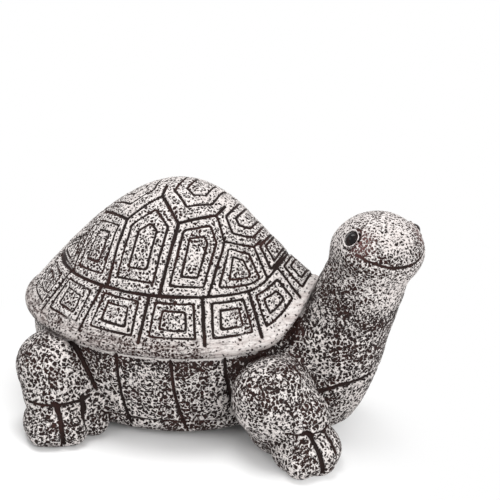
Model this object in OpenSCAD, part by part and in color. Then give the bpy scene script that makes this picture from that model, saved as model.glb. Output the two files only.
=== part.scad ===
// Garden turtle with a lift-off shell over an oval well for a spare key.
// +X is forward, +Y is the turtle's left, +Z is up. The feet stand on z = 0.

/* [Shell] */
// Half length of the rim, front to back
rim_half_l = 58.8; // [52:0.2:66]
// Half width of the rim
rim_half_w = 49; // [44:0.2:56]
// Height of the ledge that carries the shell
seat_z = 39; // [35:0.5:44]
// Height of the shell above the ledge
shell_h = 54.8; // [46:0.2:62]
// How far the peak lies forward of the middle
peak_shift = 7; // [0:0.2:12]
// Exponent of the dome from peak to rim, two is a round crown
dome_round = 1.92; // [1.5:0.02:2.4]
// Exponent of the dome's flank, one is a straight slope at the rim
dome_flank = 1.09; // [0.9:0.01:1.3]
// Height of the smooth band round the rim
rim_h = 4; // [2:0.1:6]
// How far the band swells outward
rim_roll = 1.2; // [0.4:0.1:2]
// Rise of the rim over the neck
arch_rise = 18; // [10:0.5:22]
// Half angle of that rise
arch_half = 30; // [24:1:38]
// How far the rim reaches forward there
arch_flare = 4; // [1:0.5:6]
// Thickness of the shell at its peak
shell_wall = 5; // [3.5:0.1:7]

/* [Scutes] */
// Width of the seams between scutes
seam_w = 1.8; // [1:0.1:2.4]
// Depth of the seams
seam_d = 0.9; // [0.4:0.05:1.4]
// Width of the growth lines
line_w = 1.3; // [0.8:0.1:1.6]
// Depth of the growth lines
line_d = 0.6; // [0.3:0.05:1]
// Outer growth line, 1 at the seam and 0 in the middle of the scute
line_outer = 0.68; // [0.6:0.01:0.75]
// Inner growth line, on the same measure
line_inner = 0.34; // [0.28:0.01:0.42]
// Line between costals and marginals, 0 at the peak and 1 at the rim
ring_at = 0.79; // [0.74:0.01:0.84]
// Lower ends of the marginals, on the same measure
skirt_at = 0.985; // [0.95:0.005:0.99]
// Half angle of the single scute over the neck
nuchal_half = 11; // [8:0.5:14]
// Angle of the first marginal beside it
marginal_first = 20; // [16:0.5:24]
// Angle of each marginal after that
marginal_pitch = 25.5; // [24:0.1:27]

/* [Key well] */
// Width of the ledge round the lip
ledge_w = 7.5; // [5.5:0.1:9]
// How far the shell hangs over the body
overhang = 2; // [1:0.1:3]
// Thickness of the raised lip
lip_w = 4.5; // [3:0.1:6]
// Height of the lip above the ledge
lip_h = 5.5; // [3:0.1:7]
// Height of the well's floor
floor_z = 17; // [14:0.5:24]
// Fillet between floor and wall
floor_fillet = 6; // [3:0.5:8]
// Draft of the well's wall from lip to floor
well_draft = 3; // [1:0.5:5]
// Gap under the shell where it rests
seat_gap = 0.35; // [0.25:0.05:0.5]
// Further gap under the rise over the neck
arch_gap = 1; // [0.6:0.1:1.5]
// Gap between lip and shell
lip_gap = 1; // [0.6:0.1:1.5]
// Gap between the rim and the neck
neck_gap = 1; // [0.6:0.1:2]
// Depth of the groove at the foot of the lip
crevice_d = 0.8; // [0.4:0.1:1.5]

/* [Torso] */
// Height of the belly above the floor
belly_z = 1.5; // [1:0.1:3]
// Height of the edge line of the belly plate
plate_z = 8.5; // [8:0.5:12]
// How far the flank draws in from the ledge to this line
belly_tuck = 3.5; // [2:0.1:6]
// Sideways reach of the round under the belly plate
belly_round = 8.5; // [6:0.5:14]
// Depth of the edge line of the belly plate
plate_d = 1; // [0.5:0.1:1.5]
// Place of the middle groove on a flank, behind the front of the rim
groove_back = 38.8; // [34:0.1:44]
// Number of grooves down each flank
flank_grooves = 3; // [1:1:4]
// Spacing of these grooves
groove_pitch = 21.5; // [14:0.5:24]
// How far the lower end of a groove leans forward
groove_lean = 2; // [0:0.5:4]
// Width of the carved grooves
groove_w = 1.8; // [1:0.1:2.5]
// Length of the tail behind the body
tail_l = 8; // [5:0.5:12]
// Half width of the tail where it leaves the body
tail_half = 7; // [5:0.5:9]
// Half width of the tail's tip
tail_tip = 1.6; // [1:0.1:2.5]
// How far the tail droops
tail_dip = 20; // [10:1:30]

/* [Neck and head] */
// Half width of the neck under the head
neck_half = 14.5; // [12:0.5:17]
// Half width of the chest where the neck starts
chest_half = 21; // [18:0.5:23]
// How far the neck's foot lies ahead of the rim
neck_ahead = 2.5; // [1:0.5:5]
// Height of the neck's foot above the belly
neck_low = 13.5; // [10:0.5:16]
// How far the throat bows forward
neck_bow = 2; // [0:0.5:4]
// How far the head's middle lies ahead of the rim
head_ahead = 28; // [24:0.5:34]
// Height of the head's middle
head_z = 77.5; // [72:0.5:84]
// Half length of the head
head_half_l = 18.5; // [17:0.5:22]
// Half width of the head
head_half_w = 17; // [14:0.5:20]
// Half height of the head
head_half_h = 14.5; // [13:0.5:17]
// How far the head is turned to the turtle's right
head_turn = 45; // [20:1:55]
// How far the face is tipped up
head_tip = 14; // [0:1:20]
// Sideways place of the head's middle, to the right
head_side = 4; // [0:0.5:8]
// Depth of the mouth's middle below the head's middle
mouth_drop = 4.4; // [3:0.2:6]
// Rise of the mouth from its middle to its corners
mouth_smile = 6; // [3:0.2:7]
// Width of the carved mouth
mouth_w = 1.6; // [1:0.1:2.4]

/* [Eyes] */
// Diameter of an eye bead
eye_d = 6.6; // [5:0.1:8]
// How far a bead stands out of the head
eye_out = 1.6; // [0.8:0.1:2.4]
// Angle of the eyes from the face's middle
eye_yaw = 69; // [58:1:76]
// Height of the eyes above the head's middle
eye_up = 7; // [5:0.2:9]
// Gap between a bead and its socket
eye_gap = 0.25; // [0.15:0.05:0.4]
// Thickness of the lid round an eye
eyelid = 1.1; // [0.7:0.1:1.6]

/* [Legs] */
// Front feet, ahead of the rim
front_ahead = 12.7; // [8:0.1:18]
// Front feet, in from the widest part of the rim
front_in = 14.5; // [8:0.1:16]
// How far the left front foot stays behind the right one
stride = 17; // [8:0.5:20]
// Direction of the front toes, out from straight ahead
front_turn = 23; // [10:1:40]
// Front shoulders, behind the front of the rim
shoulder_back = 1.8; // [0:0.1:6]
// Front shoulders, in from the widest part of the rim
shoulder_in = 16; // [12:0.1:20]
// How much slimmer the breast between the shoulders is
breast_in = 2; // [1:0.1:4]
// Rear feet, ahead of the back of the rim
rear_ahead = 34; // [28:0.1:38]
// Rear feet, out from the widest part of the rim
rear_out = 2; // [0:0.1:4]
// Direction of the rear toes, out from straight ahead
rear_turn = 43; // [25:1:60]
// Rear thighs, ahead of the back of the rim
thigh_ahead = 28.8; // [24:0.1:34]
// Rear thighs, in from the widest part of the rim
thigh_in = 4.5; // [2:0.1:7]
// How far the lower legs run on into the body
leg_root = 14; // [12:0.5:18]
// Height of the middle of thighs and shoulders
limb_z = 26; // [22:0.5:30]
// Radius of the rear thighs
thigh_r = 13.5; // [11:0.5:15]
// Radius of the front shoulders
shoulder_r = 14.5; // [12:0.5:16]
// Half width of a foot
foot_half = 13.5; // [11:0.5:14]
// Height of a foot
foot_h = 17; // [15:0.5:19]
// Height of a foot's form against its width
foot_flat = 0.8; // [0.7:0.05:0.95]
// Radius of a toe
toe_r = 6.2; // [6:0.1:8]
// Radius of a toe's root in the middle of the foot
toe_root = 7.6; // [7:0.1:9]
// How deep the toes are cut flat underneath
toe_flat = 0.8; // [0.5:0.1:1.5]
// How much slimmer an ankle is than the foot, each side
ankle_in = 2; // [0.5:0.5:3]
// How far the ankle lies behind the middle of the foot
ankle_back = 4; // [2:0.5:6]
// How far the toes reach from the middle of the foot
toe_reach = 8.5; // [7:0.5:11]
// How much shorter the outer toes are
toe_short = 3.5; // [1:0.5:5]
// Spacing of neighbouring toes
toe_pitch = 8.4; // [8:0.1:10.5]

/* [Hidden] */
$fn = 32;
fine = 18;
cream = [0.82, 0.79, 0.77];
pale = [0.88, 0.86, 0.84];
ink = [0.03, 0.03, 0.03];

// the front and back ends set where the shell lies, so that the part is centred on the origin
head_blunt = 2.3;
head_way = [cos(head_tip) * cos(head_turn), sin(head_turn), sin(head_tip) * cos(head_turn)];
head_girth = norm([head_half_w * head_way[1], head_half_h * head_way[2]]);
head_reach = max([
    for (s = [0:0.02:1]) head_half_l * head_way[0] * s + head_girth * sqrt(1 - pow(s, head_blunt))
]);
front_end = rim_half_l + head_ahead + head_reach;
back_end = rim_half_l - overhang + tail_l + tail_tip * sin(tail_dip);
shell_x = (back_end - front_end) / 2;

lip_half_l = rim_half_l - overhang - ledge_w;
lip_half_w = rim_half_w - overhang - ledge_w;
lip_clear = lip_gap + seat_gap;
ledge_z = seat_z - seat_gap;

// how finely the forms are divided
edge_steps = 2;
skirt_steps = 4;
ring_step = 8.5;
limb_steps = 14;
egg_rings = 11;
neck_rings = 7;
tail_rings = 3;
mouth_rings = 10;
tube_steps = 8;
groove_rings = 3;
belly_turns = [90:-30:0];
fillet_turns = [0:45:90];
rim_turns = [72:-36:-72];
flank_shares = [0.05, 0.45, 0.85];
hollow_shares = [0.86, 0.66, 0.42, 0.18];
// how far a cut or a join runs past the face that it meets
spare = 1;
// how close the roots of the toes lie against their tips
toe_gather = 0.6;

// exponents of the rise over the neck on shell and flank, lean of the carving at the rim
arch_fade = 3;
rise_fade = 4;
rim_lean = 0.35;

// corners of the scutes as [share from peak to rim, angle from the front]
costal_seams = [18.6, 53.7, 77.3, 104.4, 130.9, 172];
crest_corners = [[0.63, 16.1], [0.39, 33.4], [0.245, 106.6], [0.52, 163]];
flank_corners = [[0.545, 36.4], [0.428, 72.8], [0.463, 121.5], [0.63, 147.1]];

function unit(v) = v / norm(v);
function mean(list) = [for (p = list) 1] * list / len(list);
function settled(p) = [for (c = p) round(c * 10000) / 10000];
function flat(lists) = [for (l = lists) each l];
function backward(list) = [for (i = [len(list) - 1:-1:0]) list[i]];
function sorted(v) =
    len(v) < 2 ? v :
    let (m = v[floor(len(v) / 2)])
    concat(sorted([for (x = v) if (x < m) x]), [m], sorted([for (x = v) if (x > m) x]));

// faces between two loops of n points, the first one lying outside or below
function band(a, b, n) = flat([
    for (i = [0:n - 1])
        let (j = (i + 1) % n)
        [[a + i, b + i, b + j], [a + i, b + j, a + j]]
]);
function tip_under(c, b, n) = [for (i = [0:n - 1]) [c, b + i, b + (i + 1) % n]];
function tip_over(a, c, n) = [for (i = [0:n - 1]) [a + i, c, a + (i + 1) % n]];

// closed solid through loops of equal length, from one tip to the other
module loft(loops, first, last) {
    n = len(loops[0]);
    m = len(loops);
    polyhedron(
        points = [for (p = concat([first], flat(loops), [last])) settled(p)],
        faces = concat(
            tip_under(0, 1, n),
            flat([for (k = [0:m - 2]) band(1 + k * n, 1 + (k + 1) * n, n)]),
            tip_over(1 + (m - 1) * n, 1 + m * n, n)
        )
    );
}

// the dome: height share at r, rise over the neck at angle t
function lift(r) = pow(1 - pow(r, dome_round), dome_flank);
function arch(t) =
    let (a = abs((t + 540) % 360 - 180))
    a < arch_half ? (1 + cos(180 * a / arch_half)) / 2 : 0;
function polar(r, t) = [r * cos(t), r * sin(t)];

// a point of the shell's outside for a place on the scute map, sunk by a depth
function shell_at(q, sink) =
    let (r = max(norm(q), 0.0001))
    let (t = atan2(q[1], q[0]))
    let (rise = arch(t) * pow(r, arch_fade))
    let (n = unit([q[0] / rim_half_l, q[1] / rim_half_w, (rim_lean + lift(r)) / shell_h]))
    [
        rim_half_l * q[0] + peak_shift * lift(r) + arch_flare * rise * cos(t),
        rim_half_w * q[1] + arch_flare * rise * sin(t),
        seat_z + rim_h + (shell_h - rim_h) * lift(r) + arch_rise * rise
    ] - sink * n;

// the scute map
marginal_seams = concat(
    [nuchal_half],
    [for (t = nuchal_half + marginal_first; t < 170; t = t + marginal_pitch) t],
    [180]
);
ring_stops = sorted(concat([0], marginal_seams, costal_seams));
ring_half = concat(
    flat([
        for (i = [0:len(ring_stops) - 2])
            let (gap = ring_stops[i + 1] - ring_stops[i])
            let (n = ceil(gap / ring_step))
            [for (k = [0:n - 1]) ring_stops[i] + gap * k / n]
    ]),
    [180]
);
ring_all = concat(
    [for (t = backward(ring_half)) -t],
    [for (t = ring_half) if (t > 0) t],
    [for (t = backward(ring_half)) if (t < 180) 360 - t]
);
function ring_arc(from, to) = [for (t = ring_all) if (t >= from && t <= to) polar(ring_at, t)];
function side(corner, s) = polar(corner[0], s * corner[1]);

// an outline through corners, with each side divided alike from both ends
function outline(corners) = flat([
    for (i = [0:len(corners) - 1])
        let (a = corners[i])
        let (b = corners[(i + 1) % len(corners)])
        [for (k = [0:edge_steps - 1]) a + (b - a) * k / edge_steps]
]);
// an outline that starts with an arc of the ring
function arc_outline(arc, corners) =
    let (path = concat([arc[len(arc) - 1]], corners, [arc[0]]))
    concat(
        [for (i = [0:len(arc) - 2]) arc[i]],
        flat([
            for (i = [0:len(path) - 2])
                [for (k = [0:edge_steps - 1]) path[i] + (path[i + 1] - path[i]) * k / edge_steps]
        ])
    );
function mirrored(list) = [for (q = backward(list)) [q[0], -q[1]]];

last_seam = len(marginal_seams) - 1;
function skirt_ts(from, to) = [for (k = [0:skirt_steps]) from + (to - from) * k / skirt_steps];
function marginal(from, to) =
    let (low = [for (t = skirt_ts(from, to)) polar(skirt_at, t)])
    let (top = backward(ring_arc(from, to)))
    concat(
        [for (i = [0:skirt_steps - 1]) low[i]],
        [for (k = [0:edge_steps - 1]) low[skirt_steps] + (top[0] - low[skirt_steps]) * k / edge_steps],
        [for (i = [0:len(top) - 2]) top[i]],
        [for (k = [0:edge_steps - 1])
            top[len(top) - 1] + (low[0] - top[len(top) - 1]) * k / edge_steps]
    );
marginals_left = [for (i = [0:last_seam - 1]) marginal(marginal_seams[i], marginal_seams[i + 1])];
costals_left = [
    for (i = [0:len(costal_seams) - 2])
        arc_outline(
            ring_arc(costal_seams[i], costal_seams[i + 1]),
            concat(
                [side(flank_corners[min(i, len(flank_corners) - 1)], 1)],
                i < len(crest_corners) ? [side(crest_corners[i], 1)] : [],
                i > 0 && i < len(crest_corners) ? [side(flank_corners[i - 1], 1)] : []
            )
        )
];
last_crest = len(crest_corners) - 1;
vertebral_front = arc_outline(
    ring_arc(-costal_seams[0], costal_seams[0]),
    [side(crest_corners[0], 1), side(crest_corners[0], -1)]
);
vertebrals_middle = [
    for (i = [0:last_crest - 1])
        outline([
            side(crest_corners[i], -1), side(crest_corners[i], 1), side(flank_corners[i], 1),
            side(crest_corners[i + 1], 1), side(crest_corners[i + 1], -1), side(flank_corners[i], -1)
        ])
];
rear_seam = costal_seams[len(costal_seams) - 1];
vertebral_rear = arc_outline(
    ring_arc(rear_seam, 360 - rear_seam),
    [
        side(flank_corners[last_crest], -1), side(crest_corners[last_crest], -1),
        side(crest_corners[last_crest], 1), side(flank_corners[last_crest], 1)
    ]
);
scutes = concat(
    [marginal(-nuchal_half, nuchal_half), vertebral_front, vertebral_rear],
    vertebrals_middle,
    marginals_left, costals_left,
    [for (s = marginals_left) mirrored(s)], [for (s = costals_left) mirrored(s)]
);

// loops of one scute, from its seam over two growth lines to its middle
function scute_loops(edge) =
    let (c = mean(edge))
    let (reach = min([for (q = edge) norm(shell_at(q, 0) - shell_at(c, 0))]))
    let (w = seam_w / 2 / reach)
    let (g = line_w / 2 / reach)
    [
        for (level = [
            [1, seam_d], [1 - w, 0],
            [line_outer + g, 0], [line_outer, line_d], [line_outer - g, 0],
            [line_inner + g, 0], [line_inner, line_d], [line_inner - g, 0]
        ])
            [for (q = edge) shell_at(c + (q - c) * level[0], level[1])]
    ];

// loops from the lower ends of the marginals round the rim and up the hollow
rim_ts = concat(
    [for (k = [0:skirt_steps - 1]) skirt_ts(-nuchal_half, nuchal_half)[k]],
    flat([
        for (i = [0:last_seam - 1])
            [for (k = [0:skirt_steps - 1]) skirt_ts(marginal_seams[i], marginal_seams[i + 1])[k]]
    ]),
    flat([
        for (i = [last_seam:-1:1])
            [for (k = [skirt_steps:-1:1]) 360 - skirt_ts(marginal_seams[i - 1], marginal_seams[i])[k]]
    ])
);
function rim_loop(out, z) = [
    for (t = rim_ts)
        let (n = unit([cos(t) / rim_half_l, sin(t) / rim_half_w]))
        [
            (rim_half_l + arch_flare * arch(t)) * cos(t) + out * n[0],
            (rim_half_w + arch_flare * arch(t)) * sin(t) + out * n[1],
            seat_z + z + arch_rise * arch(t)
        ]
];
recess_h = lip_h + lip_gap;
hollow_h = shell_h - shell_wall - recess_h;
function hollow_loop(r, z) = [
    for (t = rim_ts) [
        (lip_half_l + lip_gap) * r * cos(t) + peak_shift * lift(r),
        (lip_half_w + lip_gap) * r * sin(t),
        seat_z + z + hollow_h * lift(r) + arch_rise * arch(t) * pow(r, arch_fade)
    ]
];
inside_loops = concat(
    [
        [for (t = rim_ts) shell_at(polar(skirt_at, t), seam_d)],
        each [for (a = rim_turns) rim_loop(rim_roll * cos(a), rim_h * (1 + sin(a)) / 2)],
        rim_loop(-rim_roll, 0),
        hollow_loop(1, 0), hollow_loop(1, recess_h)
    ],
    [for (r = hollow_shares) hollow_loop(r, recess_h)]
);

module shell_lid() {
    loops = [for (s = scutes) scute_loops(s)];
    middles = [for (s = scutes) shell_at(mean(s), 0)];
    counts = [for (s = scutes) len(s)];
    depth = len(loops[0]);
    starts = [
        for (i = 0, at = 0; i < len(scutes); at = at + counts[i] * depth + 1, i = i + 1) at
    ];
    scute_faces = flat([
        for (i = [0:len(scutes) - 1])
            let (n = counts[i])
            concat(
                flat([for (k = [0:depth - 2]) band(starts[i] + k * n, starts[i] + (k + 1) * n, n)]),
                tip_over(starts[i] + (depth - 1) * n, starts[i] + depth * n, n)
            )
    ]);
    scute_points = flat([
        for (i = [0:len(scutes) - 1]) concat(flat(loops[i]), [middles[i]])
    ]);
    under = len(scute_points);
    n = len(rim_ts);
    m = len(inside_loops);
    top = [peak_shift, 0, seat_z + recess_h + hollow_h];
    inside_faces = concat(
        flat([for (k = [0:m - 2]) band(under + (k + 1) * n, under + k * n, n)]),
        tip_under(under + m * n, under + (m - 1) * n, n)
    );
    color(pale)
        translate([shell_x, 0, 0])
            polyhedron(
                points = [for (p = concat(scute_points, flat(inside_loops), [top])) settled(p)],
                faces = concat(scute_faces, inside_faces)
            );
}

// the torso, a tub that follows the shell's plan, with the same divisions as the shell
function torso_loop(tuck, z, rise) = [
    for (t = rim_ts) [
        (rim_half_l - overhang - tuck + arch_flare * arch(t) * rise) * cos(t),
        (rim_half_w - overhang - tuck + arch_flare * arch(t) * rise) * sin(t),
        z + arch_rise * arch(t) * rise
    ]
];
flank_h = ledge_z - plate_z;
groove_top = 1 - groove_w / flank_h;
groove_middle = rim_half_l - groove_back;
function flank_tuck(k) = belly_tuck * pow(1 - k, 2);
function flank_z(k) = plate_z + plate_d * (1 - k) + flank_h * k;
function flank_y(x, k) =
    let (half_l = rim_half_l - overhang - flank_tuck(k))
    let (half_w = rim_half_w - overhang - flank_tuck(k))
    half_w * sqrt(1 - pow(x / half_l, 2));
crown_z = ledge_z + lip_h + spare;
module torso() {
    loft(
        concat(
            [
                for (a = belly_turns)
                    torso_loop(
                        belly_tuck + belly_round * (1 - cos(a)),
                        plate_z - plate_d - (plate_z - plate_d - belly_z) * sin(a), 0
                    )
            ],
            [torso_loop(belly_tuck + plate_d, plate_z, 0)],
            [
                for (k = flank_shares)
                    torso_loop(flank_tuck(k), flank_z(k), pow(k, rise_fade))
            ],
            [torso_loop(0, crown_z, 1)]
        ),
        [0, 0, belly_z], [0, 0, crown_z]
    );
}

// what is taken out of the body: the well, the ledge round its lip and the room of the shell
function saddle(t) = arch_rise * arch(t) - arch_gap * sqrt(arch(t));
function well_loop(out, z, rise) = [
    for (t = rim_ts) [
        (lip_half_l + out) * cos(t),
        (lip_half_w + out) * sin(t),
        z + saddle(t) * rise
    ]
];
function clear_loop(z, rise) =
    let (edge = rim_loop(rim_roll + neck_gap, 0))
    [for (i = [0:len(edge) - 1]) [edge[i][0], edge[i][1], z + saddle(rim_ts[i]) * rise]];
lip_z = ledge_z + lip_h;
clear_z = head_z + head_half_h + shell_h;
module cavity() {
    loft(
        concat(
            [
                for (a = fillet_turns)
                    well_loop(
                        -lip_w - well_draft - floor_fillet * (1 - sin(a)),
                        floor_z + floor_fillet * (1 - cos(a)), 0
                    )
            ],
            [
                well_loop(-lip_w, lip_z, 0), well_loop(0, lip_z, 0),
                well_loop(0, ledge_z - crevice_d, 0), well_loop(lip_gap, ledge_z - crevice_d, 0),
                well_loop(lip_gap, ledge_z, 1),
                clear_loop(ledge_z, 1), clear_loop(clear_z, 0)
            ]
        ),
        [0, 0, floor_z], [0, 0, clear_z]
    );
}

// a rounded form along stations of [middle, yaw, pitch, half width, half height]
function station_loop(st, n) =
    let (side = [-sin(st[1]), cos(st[1]), 0])
    let (ahead = [cos(st[2]) * cos(st[1]), cos(st[2]) * sin(st[1]), sin(st[2])])
    let (up = cross(ahead, side))
    [for (i = [0:n - 1]) st[0] + st[3] * cos(360 * i / n) * side + st[4] * sin(360 * i / n) * up];
module horn(stations, n) {
    last = len(stations) - 1;
    loft([for (st = stations) station_loop(st, n)], stations[0][0], stations[last][0]);
}

// an egg-shaped form along X
module egg(half_l, half_w, half_h, blunt) {
    loft(
        [
            for (k = [1:egg_rings - 1])
                let (s = -cos(180 * k / egg_rings))
                let (g = pow(1 - pow(abs(s), blunt), 1 / 2))
                [
                    for (i = [0:fine - 1])
                        [half_l * s, half_w * g * cos(360 * i / fine), half_h * g * sin(360 * i / fine)]
                ]
        ],
        [-half_l, 0, 0], [half_l, 0, 0]
    );
}

head_x = rim_half_l + head_ahead;
neck_foot = [rim_half_l + neck_ahead, 0, belly_z + neck_low];
neck_bend = [(rim_half_l + head_x) / 2 + neck_bow, 0, seat_z];
neck_top = [head_x, -head_side, head_z];
function neck_point(s) =
    neck_foot * (1 - s) * (1 - s) + neck_bend * 2 * s * (1 - s) + neck_top * s * s;
function neck_way(s) = unit((neck_bend - neck_foot) * (1 - s) + (neck_top - neck_bend) * s);
module neck() {
    translate(neck_foot)
        scale([1, 1, (neck_foot[2] - belly_z) / chest_half])
            sphere(chest_half, $fn = fine);
    horn(
        [
            for (k = [0:neck_rings])
                let (s = k / neck_rings)
                let (way = neck_way(s))
                let (half = neck_half + (chest_half - neck_half) * (1 - s))
                [neck_point(s), 0, asin(way[2]), half, half]
        ],
        fine
    );
}

module on_head() {
    translate([head_x, -head_side, head_z])
        rotate([0, -head_tip, -head_turn])
            children();
}
module head() {
    on_head()
        egg(head_half_l, head_half_w, head_half_h, head_blunt);
}

// the eyes sit on the head's side, with their axes pointing out along n
function eye_n(s) = unit([
    cos(eye_yaw) / head_half_l,
    s * sin(eye_yaw) / head_half_w,
    eye_up / head_half_h / head_half_h
]);
function eye_skin(s) =
    let (k = sqrt(1 - pow(eye_up / head_half_h, 2)))
    [head_half_l * k * cos(eye_yaw), s * head_half_w * k * sin(eye_yaw), eye_up];
function eye_middle(s) = eye_skin(s) - eye_n(s) * (eye_d / 2 - eye_out);
module at_eye(s) {
    n = eye_n(s);
    on_head()
        translate(eye_middle(s))
            rotate([0, acos(n[2]), atan2(n[1], n[0])])
                children();
}
module eyelid_ring(s) {
    at_eye(s)
        translate([0, 0, eye_d / 2 - eye_out - eyelid / 3])
            rotate_extrude($fn = limb_steps)
                translate([eye_d / 2 + eyelid / 3, 0])
                    circle(eyelid, $fn = tube_steps);
}
module eye(s) {
    color(ink)
        translate([shell_x, 0, 0])
            at_eye(s)
                sphere(d = eye_d);
}

// the mouth runs round the front of the head and dips in the middle
mouth_half = 58;
module mouth() {
    on_head()
        horn(
            [
                for (i = [0:mouth_rings])
                    let (a = mouth_half * (2 * i / mouth_rings - 1))
                    let (z = -mouth_drop + mouth_smile * (1 - cos(a)) / (1 - cos(mouth_half)))
                    let (k = sqrt(1 - pow(z / head_half_h, 2)))
                    [
                        [head_half_l * k * cos(a), head_half_w * k * sin(a), z],
                        a + 90, 0, mouth_w / 2, mouth_w / 2
                    ]
            ],
            tube_steps
        );
}

// a leg from its thigh or shoulder to a foot with three toes
module ball(p, r) {
    translate(p)
        sphere(r, $fn = limb_steps);
}
shoulder = [rim_half_l - shoulder_back, rim_half_w - shoulder_in];
front_foot = [rim_half_l + front_ahead, rim_half_w - front_in];
thigh = [thigh_ahead - rim_half_l, rim_half_w - thigh_in];
rear_foot = [rear_ahead - rim_half_l, rim_half_w + rear_out];
module breast() {
    hull() {
        for (s = [-1, 1])
            ball([shoulder[0], s * shoulder[1], limb_z], shoulder_r - breast_in);
    }
}
module leg(hip, hip_r, foot, turn, s) {
    here = [foot[0], s * foot[1], 0];
    inward = here * leg_root / norm(foot);
    ahead = [cos(turn), s * sin(turn), 0];
    across = [-s * sin(turn), cos(turn), 0];
    ankle_r = foot_half - ankle_in;
    hull() {
        ball([hip[0], s * hip[1], limb_z], hip_r);
        ball(here - ankle_back * ahead + [0, 0, foot_h], ankle_r);
        ball(here - inward + [0, 0, ankle_r], ankle_r + spare);
    }
    translate(here + [0, 0, foot_h - foot_half * foot_flat])
        scale([1, 1, foot_flat])
            sphere(foot_half, $fn = limb_steps);
    for (i = [-1:1]) {
        beside = i * toe_pitch * across;
        hull() {
            ball(here + toe_gather * beside + [0, 0, toe_root - toe_flat], toe_root);
            ball(
                here + (toe_reach - abs(i) * toe_short) * ahead + beside + [0, 0, toe_r - toe_flat],
                toe_r
            );
        }
    }
}
module tail() {
    root = -rim_half_l + overhang + belly_tuck + tail_half;
    tip = -rim_half_l + overhang - tail_l;
    horn(
        [
            for (k = [0:tail_rings])
                let (u = k / tail_rings)
                let (x = root + (tip - root) * u)
                let (half = tail_half + (tail_tip - tail_half) * u)
                let (z = plate_z + tail_half + (x - root) * tan(tail_dip))
                [[x, 0, z], 180, -tail_dip, half, half]
        ],
        limb_steps
    );
}

// grooves down the flanks, from the ledge to the line of the belly plate
module flank_groove(x, s) {
    horn(
        [
            for (i = [0:groove_rings])
                let (k = groove_top * (1 - i / groove_rings))
                let (way = x + groove_lean * (1 - k))
                [[way, s * flank_y(way, k), flank_z(k)], 0, -90, groove_w / 2, groove_w / 2]
        ],
        tube_steps
    );
}

module turtle_body() {
    color(cream)
        translate([shell_x, 0, 0])
            difference() {
                union() {
                    torso();
                    neck();
                    head();
                    tail();
                    breast();
                    leg(shoulder, shoulder_r, front_foot, front_turn, -1);
                    leg(shoulder, shoulder_r, front_foot - [stride, 0], front_turn, 1);
                    for (s = [-1, 1]) {
                        eyelid_ring(s);
                        leg(thigh, thigh_r, rear_foot, rear_turn, s);
                    }
                }
                cavity();
                mouth();
                for (s = [-1, 1]) {
                    at_eye(s)
                        sphere(d = eye_d + 2 * eye_gap, $fn = fine);
                    for (i = [0:flank_grooves - 1])
                        flank_groove(groove_middle + groove_pitch * (i - (flank_grooves - 1) / 2), s);
                }
                translate([-2 * rim_half_l, -2 * rim_half_w, -seat_z])
                    cube([6 * rim_half_l, 4 * rim_half_w, seat_z]);
            }
}
module eye_right() {
    eye(-1);
}
module eye_left() {
    eye(1);
}

turtle_body();
shell_lid();
eye_right();
eye_left();
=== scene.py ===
import math

import bmesh
import bpy
import numpy as np
from bpy.props import FloatProperty, FloatVectorProperty, IntProperty, PointerProperty
from mathutils import Matrix, Vector
from mathutils.bvhtree import BVHTree


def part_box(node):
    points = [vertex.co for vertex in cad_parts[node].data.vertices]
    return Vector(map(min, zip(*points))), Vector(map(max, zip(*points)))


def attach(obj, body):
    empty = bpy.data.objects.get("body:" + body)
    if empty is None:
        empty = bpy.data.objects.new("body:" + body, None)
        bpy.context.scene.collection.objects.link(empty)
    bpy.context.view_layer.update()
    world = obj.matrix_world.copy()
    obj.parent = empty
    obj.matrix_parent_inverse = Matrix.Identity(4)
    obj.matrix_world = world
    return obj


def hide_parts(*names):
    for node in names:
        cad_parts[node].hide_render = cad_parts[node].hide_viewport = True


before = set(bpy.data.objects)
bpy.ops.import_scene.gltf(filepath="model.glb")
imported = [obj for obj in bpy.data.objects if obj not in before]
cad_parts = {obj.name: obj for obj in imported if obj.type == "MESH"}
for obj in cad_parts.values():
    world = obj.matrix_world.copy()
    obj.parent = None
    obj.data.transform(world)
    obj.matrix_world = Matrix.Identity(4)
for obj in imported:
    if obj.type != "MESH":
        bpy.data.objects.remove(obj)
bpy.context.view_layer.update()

bl_info = {
    "name": "Turtle Key Hider",
    "version": (1, 0, 0),
    "blender": (4, 5, 0),
    "location": "3D View > Sidebar > Turtle",
    "description": "Builds the speckled casting of a garden turtle with a lift-off shell",
    "category": "Add Mesh",
}

EYES = ("eye_right", "eye_left")

# Spacings in metres: of points on a line, of the hand's strays and lumps, and of patterns in the paint.
LINE_SPACING = 0.001
STRAY = 0.006
PRESS = 0.009
LUMP = 0.0075
DENT = 0.002
GRAIN = 0.0005
PATCH = 0.012
STREAK = 0.006
HAIR = 0.0038
RUN = 0.0025
CAST = 0.002


def length(name, description, default):
    """A size in metres."""
    return FloatProperty(
        name=name, description=description, default=default, unit="LENGTH", precision=5
    )


def share(name, description, default):
    """A plain number."""
    return FloatProperty(name=name, description=description, default=default, precision=3)


def angle(name, description, degrees):
    """An angle, kept in radians."""
    return FloatProperty(
        name=name, description=description, default=math.radians(degrees), subtype="ANGLE", unit="ROTATION"
    )


def colour(name, description, default):
    """A linear colour."""
    return FloatVectorProperty(
        name=name, description=description, default=default, subtype="COLOR", size=3, min=0, max=1
    )


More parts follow.
